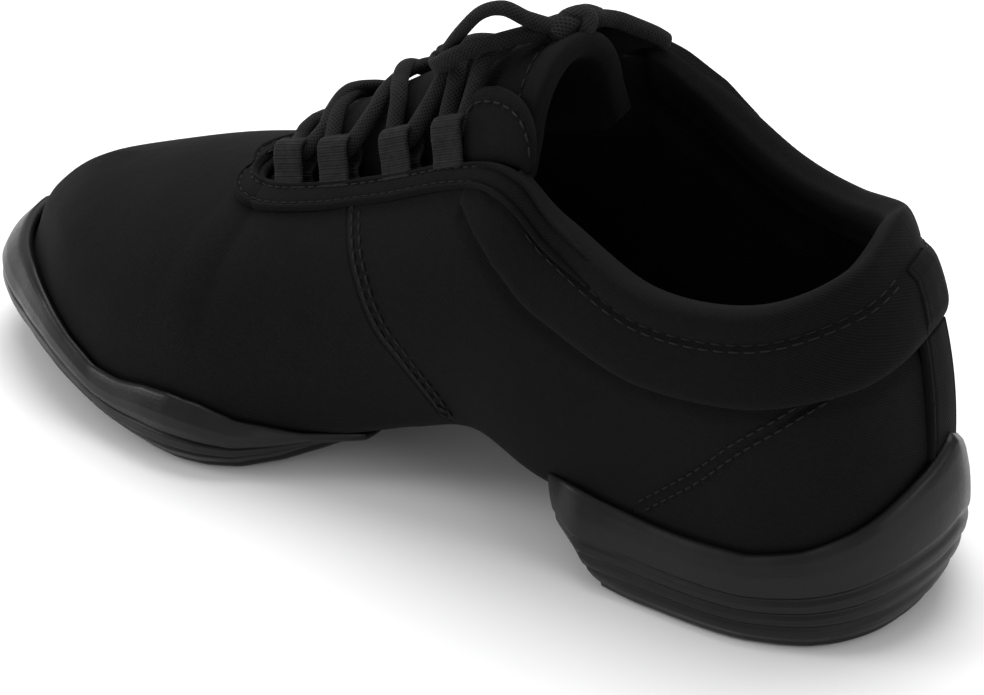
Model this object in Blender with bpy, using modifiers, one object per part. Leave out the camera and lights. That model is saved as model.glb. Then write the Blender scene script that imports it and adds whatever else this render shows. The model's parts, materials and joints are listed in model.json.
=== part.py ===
"""A split-sole dance sneaker for the right foot, standing empty on its two soles.

x runs from the heel to the toe, y to the big-toe side and z up. The origin is on the floor, in
the middle of the heel's flat spot. Every piece that follows the foot takes its shape from one
function, last(), which gives any point of the upper's outer face.
"""

import math

import bmesh
import bpy
import numpy as np

# Driving dimensions in metres.
LENGTH = 0.260  # back of the heel to the tip of the toe, over the rubber
BALL = 0.090  # width that the section table's y values are shares of
TALL = 0.090  # floor to the top of the collar at the back
HEEL_CENTRE = 0.045  # back of the heel to the origin
WALL = 0.002  # cloth upper with its lining
GAP = 0.0004  # between pieces that lie on each other
END_GAP = 0.0015  # between the cloth and the rubber at a sole's corners under the arch
FEATHER = 0.006  # depth of the rounded lower edge of the upper
LASTING = 0.012  # width of the cloth folded in under the foot
RUBBER = 0.0016  # wall of the rubber cup at its rim
TREAD_EDGE = 0.002  # height of the rounded edge of the tread
COLLAR_PAD = 0.0026  # how far the collar stands out from the upper
COLLAR_INSIDE = 0.0032  # how far its padding stands into the shoe
BAND = 0.0013  # thickness of the eyestay and of the back strip
TONGUE_FRONT = 0.003  # thickness of the tongue under the vamp
TONGUE_TOP = 0.0055  # thickness of the tongue at its padded top
TAB = 0.0026  # thickness of the padded tab behind the last loop
LOOP_WIDTH = 0.0088  # width of a webbing loop
LOOP_HEIGHT = 0.0105  # how far a loop stands up from the eyestay
WEBBING = 0.0010  # thickness of the webbing
LACE = 0.0036  # diameter of the lace

# Sections round the shoe: the foot is where the wall turns under, the crown where it ends or meets
# the other side. x values are shares of LENGTH from the heel's back, y of BALL and z of TALL. The
# wall leaves the foot leaning out by lean degrees and comes to the crown rising by dip degrees.
# Past the throat the crowns lie on one ridge, and there dip is how the ridge falls to the toe.
#    name            foot x, foot y, foot z, crown x, crown y, crown z, lean, pull, dip, reach
BACK = ("back", 0.029, 0.000, 0.222, 0.070, 0.000, 0.989, 8, 0.35, 62, 0.36)
BIG_TOE_SIDE = (
    ("heel_corner", 0.050, 0.233, 0.222, 0.068, 0.189, 0.944, 6, 0.35, 68, 0.34),
    ("heel_side", 0.127, 0.344, 0.222, 0.127, 0.322, 0.856, 4, 0.35, 80, 0.32),
    ("seat", 0.238, 0.350, 0.222, 0.223, 0.344, 0.833, 6, 0.35, 78, 0.32),
    ("shank", 0.338, 0.339, 0.244, 0.315, 0.294, 0.922, 16, 0.35, 68, 0.34),
    ("collar_peak", 0.412, 0.317, 0.300, 0.365, 0.267, 1.003, 22, 0.35, 58, 0.36),
    ("waist", 0.477, 0.322, 0.250, 0.426, 0.239, 0.957, 22, 0.35, 50, 0.38),
    ("joint_rear", 0.542, 0.356, 0.189, 0.501, 0.211, 0.853, 18, 0.38, 44, 0.40),
    ("joint", 0.604, 0.411, 0.167, 0.575, 0.194, 0.766, 12, 0.40, 38, 0.42),
    ("throat_turn", 0.662, 0.456, 0.156, 0.650, 0.155, 0.691, 8, 0.45, 25, 0.45),
    ("vamp_point", 0.719, 0.467, 0.156, 0.688, 0.000, 0.670, 6, 0.45, 16, 0.50),
    ("vamp", 0.785, 0.439, 0.161, 0.769, 0.000, 0.617, 6, 0.45, 17, 0.50),
    ("toe_side", 0.858, 0.367, 0.178, 0.827, 0.000, 0.561, 4, 0.42, 20, 0.48),
    ("toe_corner", 0.935, 0.211, 0.211, 0.869, 0.000, 0.517, -8, 0.36, 22, 0.42),
)
TIP = ("toe_tip", 0.975, 0.000, 0.233, 0.888, 0.000, 0.494, -16, 0.32, 24, 0.36)
SMALL_TOE_SIDE = (
    ("heel_corner", 0.066, -0.200, 0.222, 0.098, -0.150, 0.933, 6, 0.35, 68, 0.34),
    ("heel_side", 0.135, -0.333, 0.222, 0.165, -0.283, 0.858, 4, 0.35, 80, 0.32),
    ("seat", 0.238, -0.356, 0.222, 0.235, -0.339, 0.872, 6, 0.35, 78, 0.32),
    ("shank", 0.338, -0.372, 0.244, 0.315, -0.330, 1.008, 12, 0.35, 68, 0.34),
    ("collar_peak", 0.412, -0.394, 0.278, 0.365, -0.267, 1.095, 14, 0.35, 58, 0.36),
    ("waist", 0.477, -0.428, 0.244, 0.426, -0.239, 0.961, 14, 0.35, 50, 0.38),
    ("joint_rear", 0.542, -0.467, 0.189, 0.501, -0.211, 0.856, 12, 0.38, 44, 0.40),
    ("joint", 0.604, -0.494, 0.167, 0.575, -0.194, 0.766, 10, 0.40, 38, 0.42),
    ("throat_turn", 0.662, -0.500, 0.156, 0.650, -0.155, 0.691, 8, 0.45, 25, 0.45),
    ("vamp_point", 0.719, -0.478, 0.156, 0.688, 0.000, 0.670, 6, 0.45, 16, 0.50),
    ("vamp", 0.785, -0.428, 0.161, 0.769, 0.000, 0.617, 6, 0.45, 17, 0.50),
    ("toe_side", 0.858, -0.333, 0.178, 0.827, 0.000, 0.561, 4, 0.42, 20, 0.48),
    ("toe_corner", 0.940, -0.190, 0.211, 0.869, 0.000, 0.517, -8, 0.36, 22, 0.42),
)
TIP_ROW = len(BIG_TOE_SIDE) + 1
RIDGE_ROW = 10  # vamp_point, where the throat ends and the ridge begins
THROAT_ROW = 9  # throat_turn
SPINE = (0.14, 0.83)  # shares of LENGTH between which the wall faces straight to the side
STEP = 0.5  # sections are cut every half row

# The sole's rim and tread: row round the shoe, height of the rim on the upper's wall as v, how far
# the tread's edge stands out from the foot line as a share of BALL, tread height as one of TALL,
# how far the tread's edge lies back under the sole as a share of LENGTH and the cup's wall at its
# rim as a share of RUBBER.
#   row, rim, out, floor, under, wall
FRONT_SOLE = (
    (6.8, -0.55, -0.110, 0.040, 0.000, 0.5),
    (7.5, -0.10, -0.090, 0.028, 0.000, 0.7),
    (8.0, 0.02, -0.040, 0.007, 0.000, 1.0),
    (8.5, 0.06, 0.000, 0.000, 0.000, 1.0),
    (9.5, 0.07, 0.015, 0.000, 0.000, 1.0),
    (10.0, 0.07, 0.022, 0.010, 0.000, 1.0),
    (11.0, 0.09, 0.028, 0.029, 0.000, 1.0),
    (12.0, 0.13, 0.028, 0.056, 0.000, 1.2),
    (13.0, 0.28, 0.026, 0.080, 0.000, 1.8),
    (14.0, 0.37, 0.030, 0.094, 0.000, 2.1),
)
HEEL_SOLE = (
    (0.0, 0.36, -0.033, 0.000, 0.000, 1.0),
    (0.5, 0.27, -0.025, 0.000, 0.000, 1.0),
    (1.0, 0.15, 0.000, 0.000, 0.000, 1.0),
    (1.5, 0.07, 0.035, 0.000, 0.000, 1.0),
    (2.0, 0.04, 0.050, 0.000, 0.000, 1.0),
    (3.0, 0.04, 0.050, 0.000, 0.010, 1.0),
    (3.5, 0.05, 0.036, 0.000, 0.032, 1.0),
)
END_BOW = 1.8  # how hollow the end of a sole is under the arch: 1 is flat
# Rows of the rubber's side: share of the way down from rim to tread edge, share of RIB that it
# stands out.
RIB = 0.0025
#   down, out
FRONT_SIDE = (
    (0.06, 0.25), (0.20, 0.75), (0.36, 1.00), (0.50, 0.88), (0.54, 0.45), (0.58, 0.90),
    (0.73, 1.00), (0.77, 0.60), (0.81, 0.90), (0.93, 0.60),
)
HEEL_SIDE = (
    (0.05, 0.20), (0.20, 0.52), (0.44, 0.64), (0.47, 0.36), (0.50, 0.74), (0.60, 0.72),
    (0.63, 0.40), (0.66, 0.76), (0.76, 0.72), (0.79, 0.40), (0.82, 0.68), (0.93, 0.46),
)

# Lower seam of the collar pad and lower edge of the eyestay, as v on the wall.
#   row, v
COLLAR_SEAM = (
    (0.0, 0.74), (1.0, 0.68), (2.0, 0.62), (3.0, 0.60), (4.0, 0.66), (4.5, 0.76), (5.0, 0.86),
)
BAND_EDGE = ((5.0, 0.88), (6.0, 0.88), (7.0, 0.885), (8.0, 0.885), (9.0, 0.88), (10.2, 0.875))
# The eyestay's inner and outer edge as it turns round the throat's front end, as (u, v).
THROAT_TURN = [
    ((9.75, 0.985), (9.85, 0.875)),
    ((9.92, 0.990), (10.06, 0.905)),
    ((10.0, 0.995), (10.20, 0.950)),
]
THROAT_FRONT = ((10.03, 1.0), (10.26, 1.0))
COLLAR_END = 4.85  # row where the collar stops, on both sides
BAND_END = 4.95
BAND_TOP = 0.985
WALL_TOP = 0.955  # the upper's own edge, inside the collar

# Stations of the tongue, from under the vamp to its top edge: half width and drop give the arch
# of its cross-section. x is a share of LENGTH, y, half width and drop of BALL, z of TALL.
#   x, y, z, half width, drop, tilt in degrees
TONGUE = (
    (0.735, 0.000, 0.545, 0.130, 0.050, 70),
    (0.700, 0.000, 0.595, 0.120, 0.060, 62),
    (0.668, 0.000, 0.692, 0.085, 0.060, 56),
    (0.623, 0.000, 0.830, 0.140, 0.105, 56),
    (0.569, 0.000, 0.930, 0.146, 0.125, 60),
    (0.508, 0.002, 1.040, 0.146, 0.140, 66),
    (0.454, 0.008, 1.125, 0.150, 0.160, 72),
    (0.405, 0.020, 1.190, 0.168, 0.190, 80),
    (0.358, 0.036, 1.240, 0.186, 0.235, 92),
)
TONGUE_SPREAD = 80  # degrees that the arch turns from its middle to each side
TONGUE_WING = (0.05, 0.13)  # shares of BALL by which its sides go on outward and down

# The webbing loops: section of the throat's edge that each stands at, from the toe.
LOOP_ROWS = (8.55, 7.90, 7.00, 6.20)
LOOP_HOLE = 0.72  # share of the loop's height at the middle of its hole
STRAP_LEAN = math.radians(20)  # how the loops and tabs lean in over the tongue
TAB_HEIGHT = 0.0150  # how far a tab stands up from the throat's edge
TAB_LEAN = {1: 0.05, -1: 0.35}  # how much further a tab leans in, for each side
#   section, share of the height
TAB_OUTLINE = ((4.97, 0.25), (5.10, 0.62), (5.25, 0.85), (5.45, 0.98), (5.70, 1.0))
LACE_ANGLE = 40  # degrees to each side of the tongue's middle between which a strand is free

# The bow: the knot's middle and half sizes and the routes of its loops and of the lace's two
# last runs from the rear loops, in metres.
KNOT = (0.0555, -0.0025, 0.1125)
KNOT_HALF = (0.0048, 0.0066, 0.0036)
BOW_NEAR = (
    (0.0575, 0.0043, 0.1131), (0.0594, 0.0072, 0.1158), (0.0630, 0.0090, 0.1180),
    (0.0680, 0.0100, 0.1165), (0.0733, 0.0105, 0.1115), (0.0780, 0.0100, 0.1050),
    (0.0805, 0.0088, 0.1024), (0.0800, 0.0110, 0.1013), (0.0770, 0.0134, 0.1026),
    (0.0730, 0.0140, 0.1060), (0.0680, 0.0125, 0.1090), (0.0620, 0.0085, 0.1120),
)
BOW_FAR = (
    (0.0545, -0.0092, 0.1122), (0.0522, -0.0145, 0.1120), (0.0490, -0.0190, 0.1085),
    (0.0465, -0.0225, 0.1062), (0.0455, -0.0250, 0.1035), (0.0475, -0.0262, 0.1028),
    (0.0520, -0.0240, 0.1052), (0.0560, -0.0195, 0.1078), (0.0585, -0.0150, 0.1100),
)
LAST_RUN_NEAR = (
    (0.0690, 0.0150, 0.0985), (0.0685, 0.0125, 0.1010), (0.0672, 0.0098, 0.1040),
    (0.0655, 0.0070, 0.1062), (0.0635, 0.0035, 0.1085), (0.0617, 0.0010, 0.1102),
)
LAST_RUN_FAR = (
    (0.0690, -0.0136, 0.0968), (0.0685, -0.0117, 0.0993), (0.0672, -0.0098, 0.1020),
    (0.0655, -0.0078, 0.1044), (0.0635, -0.0060, 0.1068), (0.0617, -0.0050, 0.1090),
)

BLACK_CLOTH = ("cloth", (0.018, 0.018, 0.019), 0.9)
BLACK_RUBBER = ("rubber", (0.024, 0.024, 0.025), 0.5)
BLACK_LINING = ("lining", (0.012, 0.012, 0.013), 0.95)
BLACK_WEBBING = ("webbing", (0.022, 0.022, 0.023), 0.8)
BLACK_LACE = ("lace", (0.020, 0.020, 0.021), 0.85)

UP = np.array([0.0, 0.0, 1.0])


def section_row(row):
    """Turns a table row's shares into metres and radians."""
    _, foot_x, foot_y, foot_z, crown_x, crown_y, crown_z, lean, pull, dip, reach = row
    return [
        foot_x * LENGTH - HEEL_CENTRE, foot_y * BALL, foot_z * TALL,
        crown_x * LENGTH - HEEL_CENTRE, crown_y * BALL, crown_z * TALL,
        math.radians(lean), pull, math.radians(dip), reach,
    ]  # fmt: skip


SECTIONS = np.array(
    [section_row(row) for row in (BACK, *BIG_TOE_SIDE, TIP, *reversed(SMALL_TOE_SIDE))]
)


def unit(vector):
    return vector / np.linalg.norm(vector)


def smooth_row(rows, place, closed):
    """The table's values at a place between rows, on a smooth curve through them."""
    index = int(math.floor(place))
    part = place - index
    count = len(rows)
    picked = [
        rows[(index + k) % count if closed else min(max(index + k, 0), count - 1)]
        for k in (-1, 0, 1, 2)
    ]
    before, start, end, after = (np.array(values, float) for values in picked)
    return 0.5 * (
        2 * start
        + (end - before) * part
        + (2 * before - 5 * start + 4 * end - after) * part**2
        + (3 * start - before - 3 * end + after) * part**3
    )


def outward(foot):
    """The level direction in which the wall faces at a foot point."""
    low, high = (share * LENGTH - HEEL_CENTRE for share in SPINE)
    return unit(foot - np.array([min(max(foot[0], low), high), 0.0, foot[2]]))


def wall_curve(u):
    """The four points of the wall's curve from foot to crown, its outward direction and lean."""
    values = smooth_row(SECTIONS, u, closed=True)
    foot, crown = values[0:3], values[3:6]
    lean, pull, dip, reach = values[6:]
    turn = (abs(u) - THROAT_ROW) * math.pi / 2
    if abs(u) >= RIDGE_ROW:
        crown[1] = 0.0
    elif turn > 0:
        side, front = SECTIONS[THROAT_ROW, 3:6], SECTIONS[RIDGE_ROW, 3:6]
        crown = side + math.sin(turn) * (front - side)
        crown[1] = math.copysign(math.cos(turn) * side[1], u)
    away = outward(foot)
    span = np.linalg.norm(crown - foot)
    on_ridge = min(max(abs(u) - THROAT_ROW, 0.0), 1.0)
    fall = math.tan(dip) * (1 - on_ridge + on_ridge * away[0])
    low = foot + span * pull * (math.sin(lean) * away + math.cos(lean) * UP)
    high = crown + span * reach * unit(away - fall * UP)
    return foot, low, high, crown, away, lean


def wall_point(u, v):
    foot, low, high, crown, away, lean = wall_curve(u)
    if v < 0:
        corner = foot - FEATHER * (math.tan(lean) * away + UP)
        end = foot - LASTING * away - FEATHER * UP
        return (1 + v) ** 2 * foot - 2 * v * (1 + v) * corner + v * v * end
    return (
        (1 - v) ** 3 * foot + 3 * v * (1 - v) ** 2 * low + 3 * v * v * (1 - v) * high + v**3 * crown
    )


def last(u, v, out=0.0):
    """A point of the upper's outer face, or out metres off it.

    u counts the sections round the shoe from the back, up to TIP_ROW on the big-toe side and down
    to -TIP_ROW on the other. v is -1 at the edge folded in under the foot, 0 at the foot line and
    1 at the crown.
    """
    if not out:
        return wall_point(u, v)
    small = 0.01
    v_low, v_high = max(v - small, -1.0), min(v + small, 1.0)
    along = wall_point(u + small, (v_low + v_high) / 2) - wall_point(u - small, (v_low + v_high) / 2)
    normal = np.cross(wall_point(u, v_high) - wall_point(u, v_low), along)
    if v > 0.999 and abs(u) >= RIDGE_ROW:
        normal[1] = 0.0
    return wall_point(u, v) + out * unit(normal)


def arch(u, side):
    """A point of the cloth under the arch, side running from -1 to 1 between the folded edges."""
    small_toe, big_toe = last(-u, -1), last(u, -1)
    return (small_toe * (1 - side) + big_toe * (1 + side)) / 2


def clear_scene():
    for item in list(bpy.data.objects):
        bpy.data.objects.remove(item, do_unlink=True)
    for item in list(bpy.data.collections):
        bpy.data.collections.remove(item)


def make_material(name, colour, roughness):
    material = bpy.data.materials.new(name)
    material.use_nodes = True
    shader = material.node_tree.nodes["Principled BSDF"]
    shader.inputs["Base Color"].default_value = (*colour, 1.0)
    shader.inputs["Roughness"].default_value = roughness
    shader.inputs["Metallic"].default_value = 0.0
    return material


def finish_piece(name, mesh, look):
    """Adds a mesh to the shoe's collection under its name, with its material."""
    mesh.name = name
    mesh.materials.append(MATERIALS[look[0]])
    mesh.shade_smooth()
    mesh.set_sharp_from_angle(angle=math.radians(50))
    piece = bpy.data.objects.new(name, mesh)
    SHOE.objects.link(piece)
    return piece


def mesh_from(bm):
    bmesh.ops.recalc_face_normals(bm, faces=bm.faces)
    mesh = bpy.data.meshes.new("mesh")
    bm.to_mesh(mesh)
    bm.free()
    return mesh


def loft(name, rings, look, round_trip=False):
    """A closed solid through rings of points, with its ends capped or joined to each other."""
    bm = bmesh.new()
    rows = [[bm.verts.new(point) for point in ring] for ring in rings]
    pairs = list(zip(rows, rows[1:]))
    if round_trip:
        pairs.append((rows[-1], rows[0]))
    for first, second in pairs:
        for k in range(len(first)):
            following = (k + 1) % len(first)
            bm.faces.new((first[k], first[following], second[following], second[k]))
    if not round_trip:
        bm.faces.new(rows[0])
        bm.faces.new(rows[-1])
    return finish_piece(name, mesh_from(bm), look)


def close_ring(bm, ring, rungs):
    """Fills a ring of vertices with rungs across it.

    ring[0] is one end. Rung k joins ring[k] to ring[-k], and the last rung is the ring's own far
    end, whose inner points lie in the ring between the two sides.
    """
    inner = len(ring) - 2 * rungs - 1
    rows = []
    for k in range(1, rungs):
        start, end = ring[k], ring[-k]
        between = [
            bm.verts.new(start.co.lerp(end.co, (j + 1) / (inner + 1))) for j in range(inner)
        ]
        rows.append([start, *between, end])
    rows.append(ring[rungs : rungs + inner + 2])
    for j in range(inner + 1):
        bm.faces.new((ring[0], rows[0][j], rows[0][j + 1]))
    for first, second in zip(rows, rows[1:]):
        for j in range(inner + 1):
            bm.faces.new((first[j], first[j + 1], second[j + 1], second[j]))


def plate(name, rings, rungs, look):
    """A closed solid of stacked rings whose first and last rings are filled by rungs."""
    bm = bmesh.new()
    rows = [[bm.verts.new(point) for point in ring] for ring in rings]
    for first, second in zip(rows, rows[1:]):
        for k in range(len(first)):
            following = (k + 1) % len(first)
            bm.faces.new((first[k], first[following], second[following], second[k]))
    close_ring(bm, rows[0], rungs)
    close_ring(bm, rows[-1], rungs)
    return finish_piece(name, mesh_from(bm), look)


def around():
    """The section places once round the shoe, from the back over the big-toe side."""
    places = sorted([k * STEP for k in range(1, int(TIP_ROW / STEP))] + [RIDGE_ROW - STEP / 2])
    return [0.0, *places, float(TIP_ROW), *(-u for u in reversed(places))]


WALL_LEVELS = (-1.0, -0.5, -0.2, 0.0, 0.14, 0.30, 0.48, 0.66, 0.82)
ARCH_ROWS = (3.5, 7.5)  # the cloth is closed under the foot between these sections


def wall_top(u):
    """How far up the wall goes: to the crown at the throat, lower inside the collar."""
    return float(np.interp(abs(u), (5.0, 5.5), (WALL_TOP, 1.0)))


def make_upper():
    """The hollow cloth upper: open at the collar and throat and over both soles."""
    bm = bmesh.new()
    places = around()
    columns = [
        [bm.verts.new(last(u, v)) for v in (*WALL_LEVELS, wall_top(u))] for u in places
    ]
    for k, column in enumerate(columns):
        following = columns[(k + 1) % len(columns)]
        for j in range(len(column) - 1):
            bm.faces.new((column[j], following[j], following[j + 1], column[j + 1]))
    sides = (-0.5, 0.0, 0.5)
    rungs = []
    for k, u in enumerate(places):
        if ARCH_ROWS[0] <= u <= ARCH_ROWS[1]:
            between = [bm.verts.new(arch(u, side)) for side in sides]
            rungs.append([columns[-k][0], *between, columns[k][0]])
    for first, second in zip(rungs, rungs[1:]):
        for j in range(len(first) - 1):
            bm.faces.new((first[j], first[j + 1], second[j + 1], second[j]))
    bmesh.ops.remove_doubles(bm, verts=bm.verts, dist=1e-6)
    upper = finish_piece("upper", mesh_from(bm), BLACK_CLOTH)
    solidify = upper.modifiers.new("wall", "SOLIDIFY")
    solidify.thickness = WALL
    solidify.offset = -1.0
    solidify.use_even_offset = True
    return upper


def make_insole():
    """The insole, lying inside on the cloth's folded edge."""
    clear = -(WALL + 2 * GAP)
    places = around()
    half = len(places) // 2
    places = places[half:] + places[:half]
    heel = int(1 / STEP)
    rungs = half - heel
    rings = [[last(u, v, clear) for u in places] for v in (-0.9, -0.5, -0.2, 0.0)]
    rings[0] = [point + 0.0001 * UP for point in rings[0]]
    return plate("insole", rings, rungs, BLACK_LINING)


def sole_levels(rim):
    """Heights on the wall, as v, of the points down the rubber's inner face."""
    levels = (-1.0, -0.5, -0.2, 0.0, min(0.14, rim / 2), rim)
    return [min(level, rim - 0.03 * (5 - k)) for k, level in enumerate(levels)]


def sole_inside(u, rim):
    """Points down the inner face of the rubber cup, from under the foot to its rim."""
    return [last(u, level, 1.5 * GAP) for level in sole_levels(rim)]


def on_facets(place, u):
    """A place's point on the straight line between the sections that the upper is cut at."""
    low = math.floor(u / STEP) * STEP
    share = (u - low) / STEP
    return (1 - share) * place(low) + share * place(low + STEP)


def sole_end_inside(start, end, side, rim):
    """The same points where the sole ends under the arch: side is -1 to 1 across the foot.

    They run from section start to section end.
    """
    rows = []
    for k, level in enumerate(sole_levels(rim)):
        u = start + k / 5 * (end - start)
        if abs(side) < 1:
            rows.append(on_facets(lambda at: arch(at, side), u) - 1.5 * GAP * UP)
        else:
            rows.append(on_facets(lambda at: last(math.copysign(at, side), level, END_GAP), u))
    return rows


def sole_station(inside, away, edge, side_rows, swell, rim_wall, bow):
    """One station of a sole, from under the foot round the rim and down to the tread."""
    rim = inside[-1] + rim_wall * away - 0.3 * rim_wall * UP
    drop = edge - rim
    down = [
        rim + drop * (share**bow, share, share) + out * RIB * swell * away
        for share, out in side_rows
    ]
    tread = edge - TREAD_EDGE * UP - 1.3 * TREAD_EDGE * away
    return [*inside, rim, *down, edge, tread]


def make_sole(name, table, side_rows, end, run, end_depth):
    """A rubber sole: a cup round the upper's lower edge that ends squarely under the arch.

    end is the section where it ends, run is 1 if the sole lies towards the toe from there and -1
    if it lies towards the heel, and end_depth is how far the end slopes under, as x.
    """
    rows = np.array(table)
    tip = float(TIP_ROW) if run > 0 else 0.0
    first = tip - run * STEP
    walls = np.arange(first, end + 0.3 * run, -run * STEP)

    def wall_station(u):
        rim, out, floor, under, wall = (
            np.interp(abs(u), rows[:, 0], rows[:, k]) for k in range(1, 6)
        )
        foot = last(u, 0)
        away = outward(foot)
        edge = foot + out * BALL * away
        edge[0] += run * under * LENGTH
        edge[2] = floor * TALL + TREAD_EDGE
        bow = float(np.interp(under, (0.0, 0.032), (1.0, END_BOW)))
        return sole_station(sole_inside(u, rim), away, edge, side_rows, 1.0, wall * RUBBER, bow)

    floor = rows[0 if run > 0 else -1, 3]
    forward = np.array([-float(run), 0.0, 0.0])

    def end_station(side, rim):
        """A station on the end's face; rim is how high it starts where side is -1 or 1."""
        lag = 0.25 if rim < end_rim else 0.5
        inside = sole_end_inside(end + lag * (walls[-1] - end), end, side, rim)
        corner = abs(side) == 1
        away = unit(forward + corner * side * (1 + rim) * np.array([0.0, 1.0, 0.0]))
        edge = inside[-1] - end_depth * forward
        edge[1] -= corner * 0.2 * end_depth * side
        edge[2] = floor * TALL + TREAD_EDGE
        return sole_station(inside, away, edge, side_rows, 0.25, 0.25 * RUBBER, END_BOW)

    end_rim = float(np.interp(end, rows[:, 0], rows[:, 1]))
    half_rim = (end_rim - 1) / 2
    stations = [wall_station(tip)]
    stations += [wall_station(u) for u in walls]
    stations += [end_station(1, end_rim), end_station(1, half_rim)]
    stations += [end_station(side, 0) for side in (0.5, 0, -0.5)]
    stations += [end_station(-1, half_rim), end_station(-1, end_rim)]
    stations += [wall_station(-u) for u in reversed(walls)]
    rings = [[station[k] for station in stations] for k in range(len(stations[0]))]
    return plate(name, rings, len(walls) + 1, BLACK_RUBBER)


def seam_at(table, u):
    rows = np.array(table)
    return float(np.interp(abs(u), rows[:, 0], rows[:, 1]))


def make_collar():
    """The padded collar: it starts at its seam, rolls over the upper's edge and ends inside."""
    inside = WALL + GAP

    def ring(u):
        seam = seam_at(COLLAR_SEAM, u)
        thick = COLLAR_PAD
        deep = COLLAR_INSIDE * float(np.interp(abs(u), (3.5, 4.8), (1.0, 0.35)))
        rows = (
            (seam, 1.5 * GAP), (seam, GAP + 0.3 * thick), (seam + 0.3 * (1 - seam), GAP + 0.85 * thick),
            (seam + 0.75 * (1 - seam), GAP + thick), (0.985, GAP + 0.6 * thick), (1.0, -0.5 * WALL),
            (0.985, -inside - 0.6 * deep), (0.93, -inside - deep), (0.85, -inside - 0.8 * deep),
            (0.80, -inside - 0.3 * deep), (0.80, -inside), (0.93, -inside),
            (WALL_TOP + 0.015, -inside), (WALL_TOP + 0.015, GAP), (0.9, 1.5 * GAP),
            (seam + 0.5 * (0.9 - seam), 1.5 * GAP),
        )  # fmt: skip
        return [last(u, v, out) for v, out in rows]

    count = int(COLLAR_END // STEP)
    places = [k * STEP for k in range(-count, count + 1)]
    places = [-COLLAR_END, *places, COLLAR_END]
    return loft("collar", [ring(u) for u in places], BLACK_CLOTH)


def overlay_ring(inner, outer, thick):
    """The closed section of a flat overlay between two places (u, v) on the upper."""
    inner, outer = np.array(inner), np.array(outer)
    shares = ((0.0, 0.0), (0.0, 0.75), (0.5, 1.0), (1.0, 0.75), (1.0, 0.0), (0.5, 0.0))
    ring = []
    for across, height in shares:
        u, v = inner + across * (outer - inner)
        ring.append(last(u, v, 1.5 * GAP + height * thick))
    return ring


def make_eyestay():
    """The band sewn round the throat, in one piece from collar to collar."""
    places = [BAND_END, *np.arange(5.5, THROAT_ROW + 0.6, STEP)]
    path = [((u, BAND_TOP), (u, seam_at(BAND_EDGE, u))) for u in places]
    path += THROAT_TURN
    rings = [overlay_ring(inner, outer, BAND) for inner, outer in path]
    rings.append(overlay_ring(*THROAT_FRONT, BAND))
    for (u_in, v_in), (u_out, v_out) in reversed(path):
        rings.append(overlay_ring((-u_in, v_in), (-u_out, v_out), BAND))
    return loft("eyestay", rings, BLACK_CLOTH)


def make_back_strip():
    """The strip over the back seam, from the heel rubber up to the collar."""
    width = 0.42
    top = seam_at(COLLAR_SEAM, width) - 0.03
    bottom = HEEL_SOLE[0][1] + 0.02
    rings = []
    for v in np.linspace(bottom, top, 5):
        outer = [last(u, v, GAP + BAND) for u in np.linspace(-width, width, 5)]
        inner = [last(u, v, GAP) for u in np.linspace(width, -width, 5)]
        rings.append(outer + inner)
    return loft("back_strip", rings, BLACK_CLOTH)


def tongue_point(place, angle, out=0.0):
    """A point of the tongue's outer face: place counts its stations, angle turns to the side."""
    x, y, z, half, drop, tilt = smooth_row(TONGUE, place, closed=False)
    lean = np.array([math.cos(math.radians(tilt)), 0.0, math.sin(math.radians(tilt))])
    middle = np.array([x * LENGTH - HEEL_CENTRE, y * BALL, z * TALL])
    turn = math.radians(angle)
    side = math.sin(turn) * (half * BALL + out)
    sink = drop * BALL - math.cos(turn) * (drop * BALL + out)
    return middle + np.array([0.0, side, 0.0]) - sink * lean


def make_tongue():
    """The padded tongue, arched over the instep and hanging down inside the throat."""
    spread = np.linspace(-TONGUE_SPREAD, TONGUE_SPREAD, 9)
    last_place = len(TONGUE) - 1
    rings = []
    for place in np.linspace(0, last_place, 2 * last_place + 1):
        thick = TONGUE_FRONT + (TONGUE_TOP - TONGUE_FRONT) * place / last_place
        if place == last_place:
            thick *= 0.5
        top = [tongue_point(place, angle) for angle in spread]
        under = [tongue_point(place, angle, -thick) for angle in spread[::-1]]
        wide, deep = BALL * np.array(TONGUE_WING)
        small, big = np.array([0.0, -wide, -deep]), np.array([0.0, wide, -deep])
        ring = [top[0] + small, *top, top[-1] + big, under[0] + big, *under, under[-1] + small]
        rings.append(ring)
    return loft("tongue", rings, BLACK_CLOTH)


def crown_frame(u):
    """At the throat's edge: the point, the direction along the edge, a strap's rise and outside."""
    side = math.copysign(1.0, u)
    along = unit(last(abs(u) + 0.2, 1) - last(abs(u) - 0.2, 1)) * (1, side, 1)
    rise = unit(np.array([0.0, -side * math.sin(STRAP_LEAN), math.cos(STRAP_LEAN)]))
    rise = unit(rise - along * rise.dot(along))
    outside = np.cross(rise, along) * side
    return last(u, 1), along, rise, outside


def loop_hole(row, side):
    """The middle of a webbing loop's hole, where the lace passes."""
    point, _, rise, _ = crown_frame(row * side)
    return point + LOOP_HOLE * LOOP_HEIGHT * rise


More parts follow.
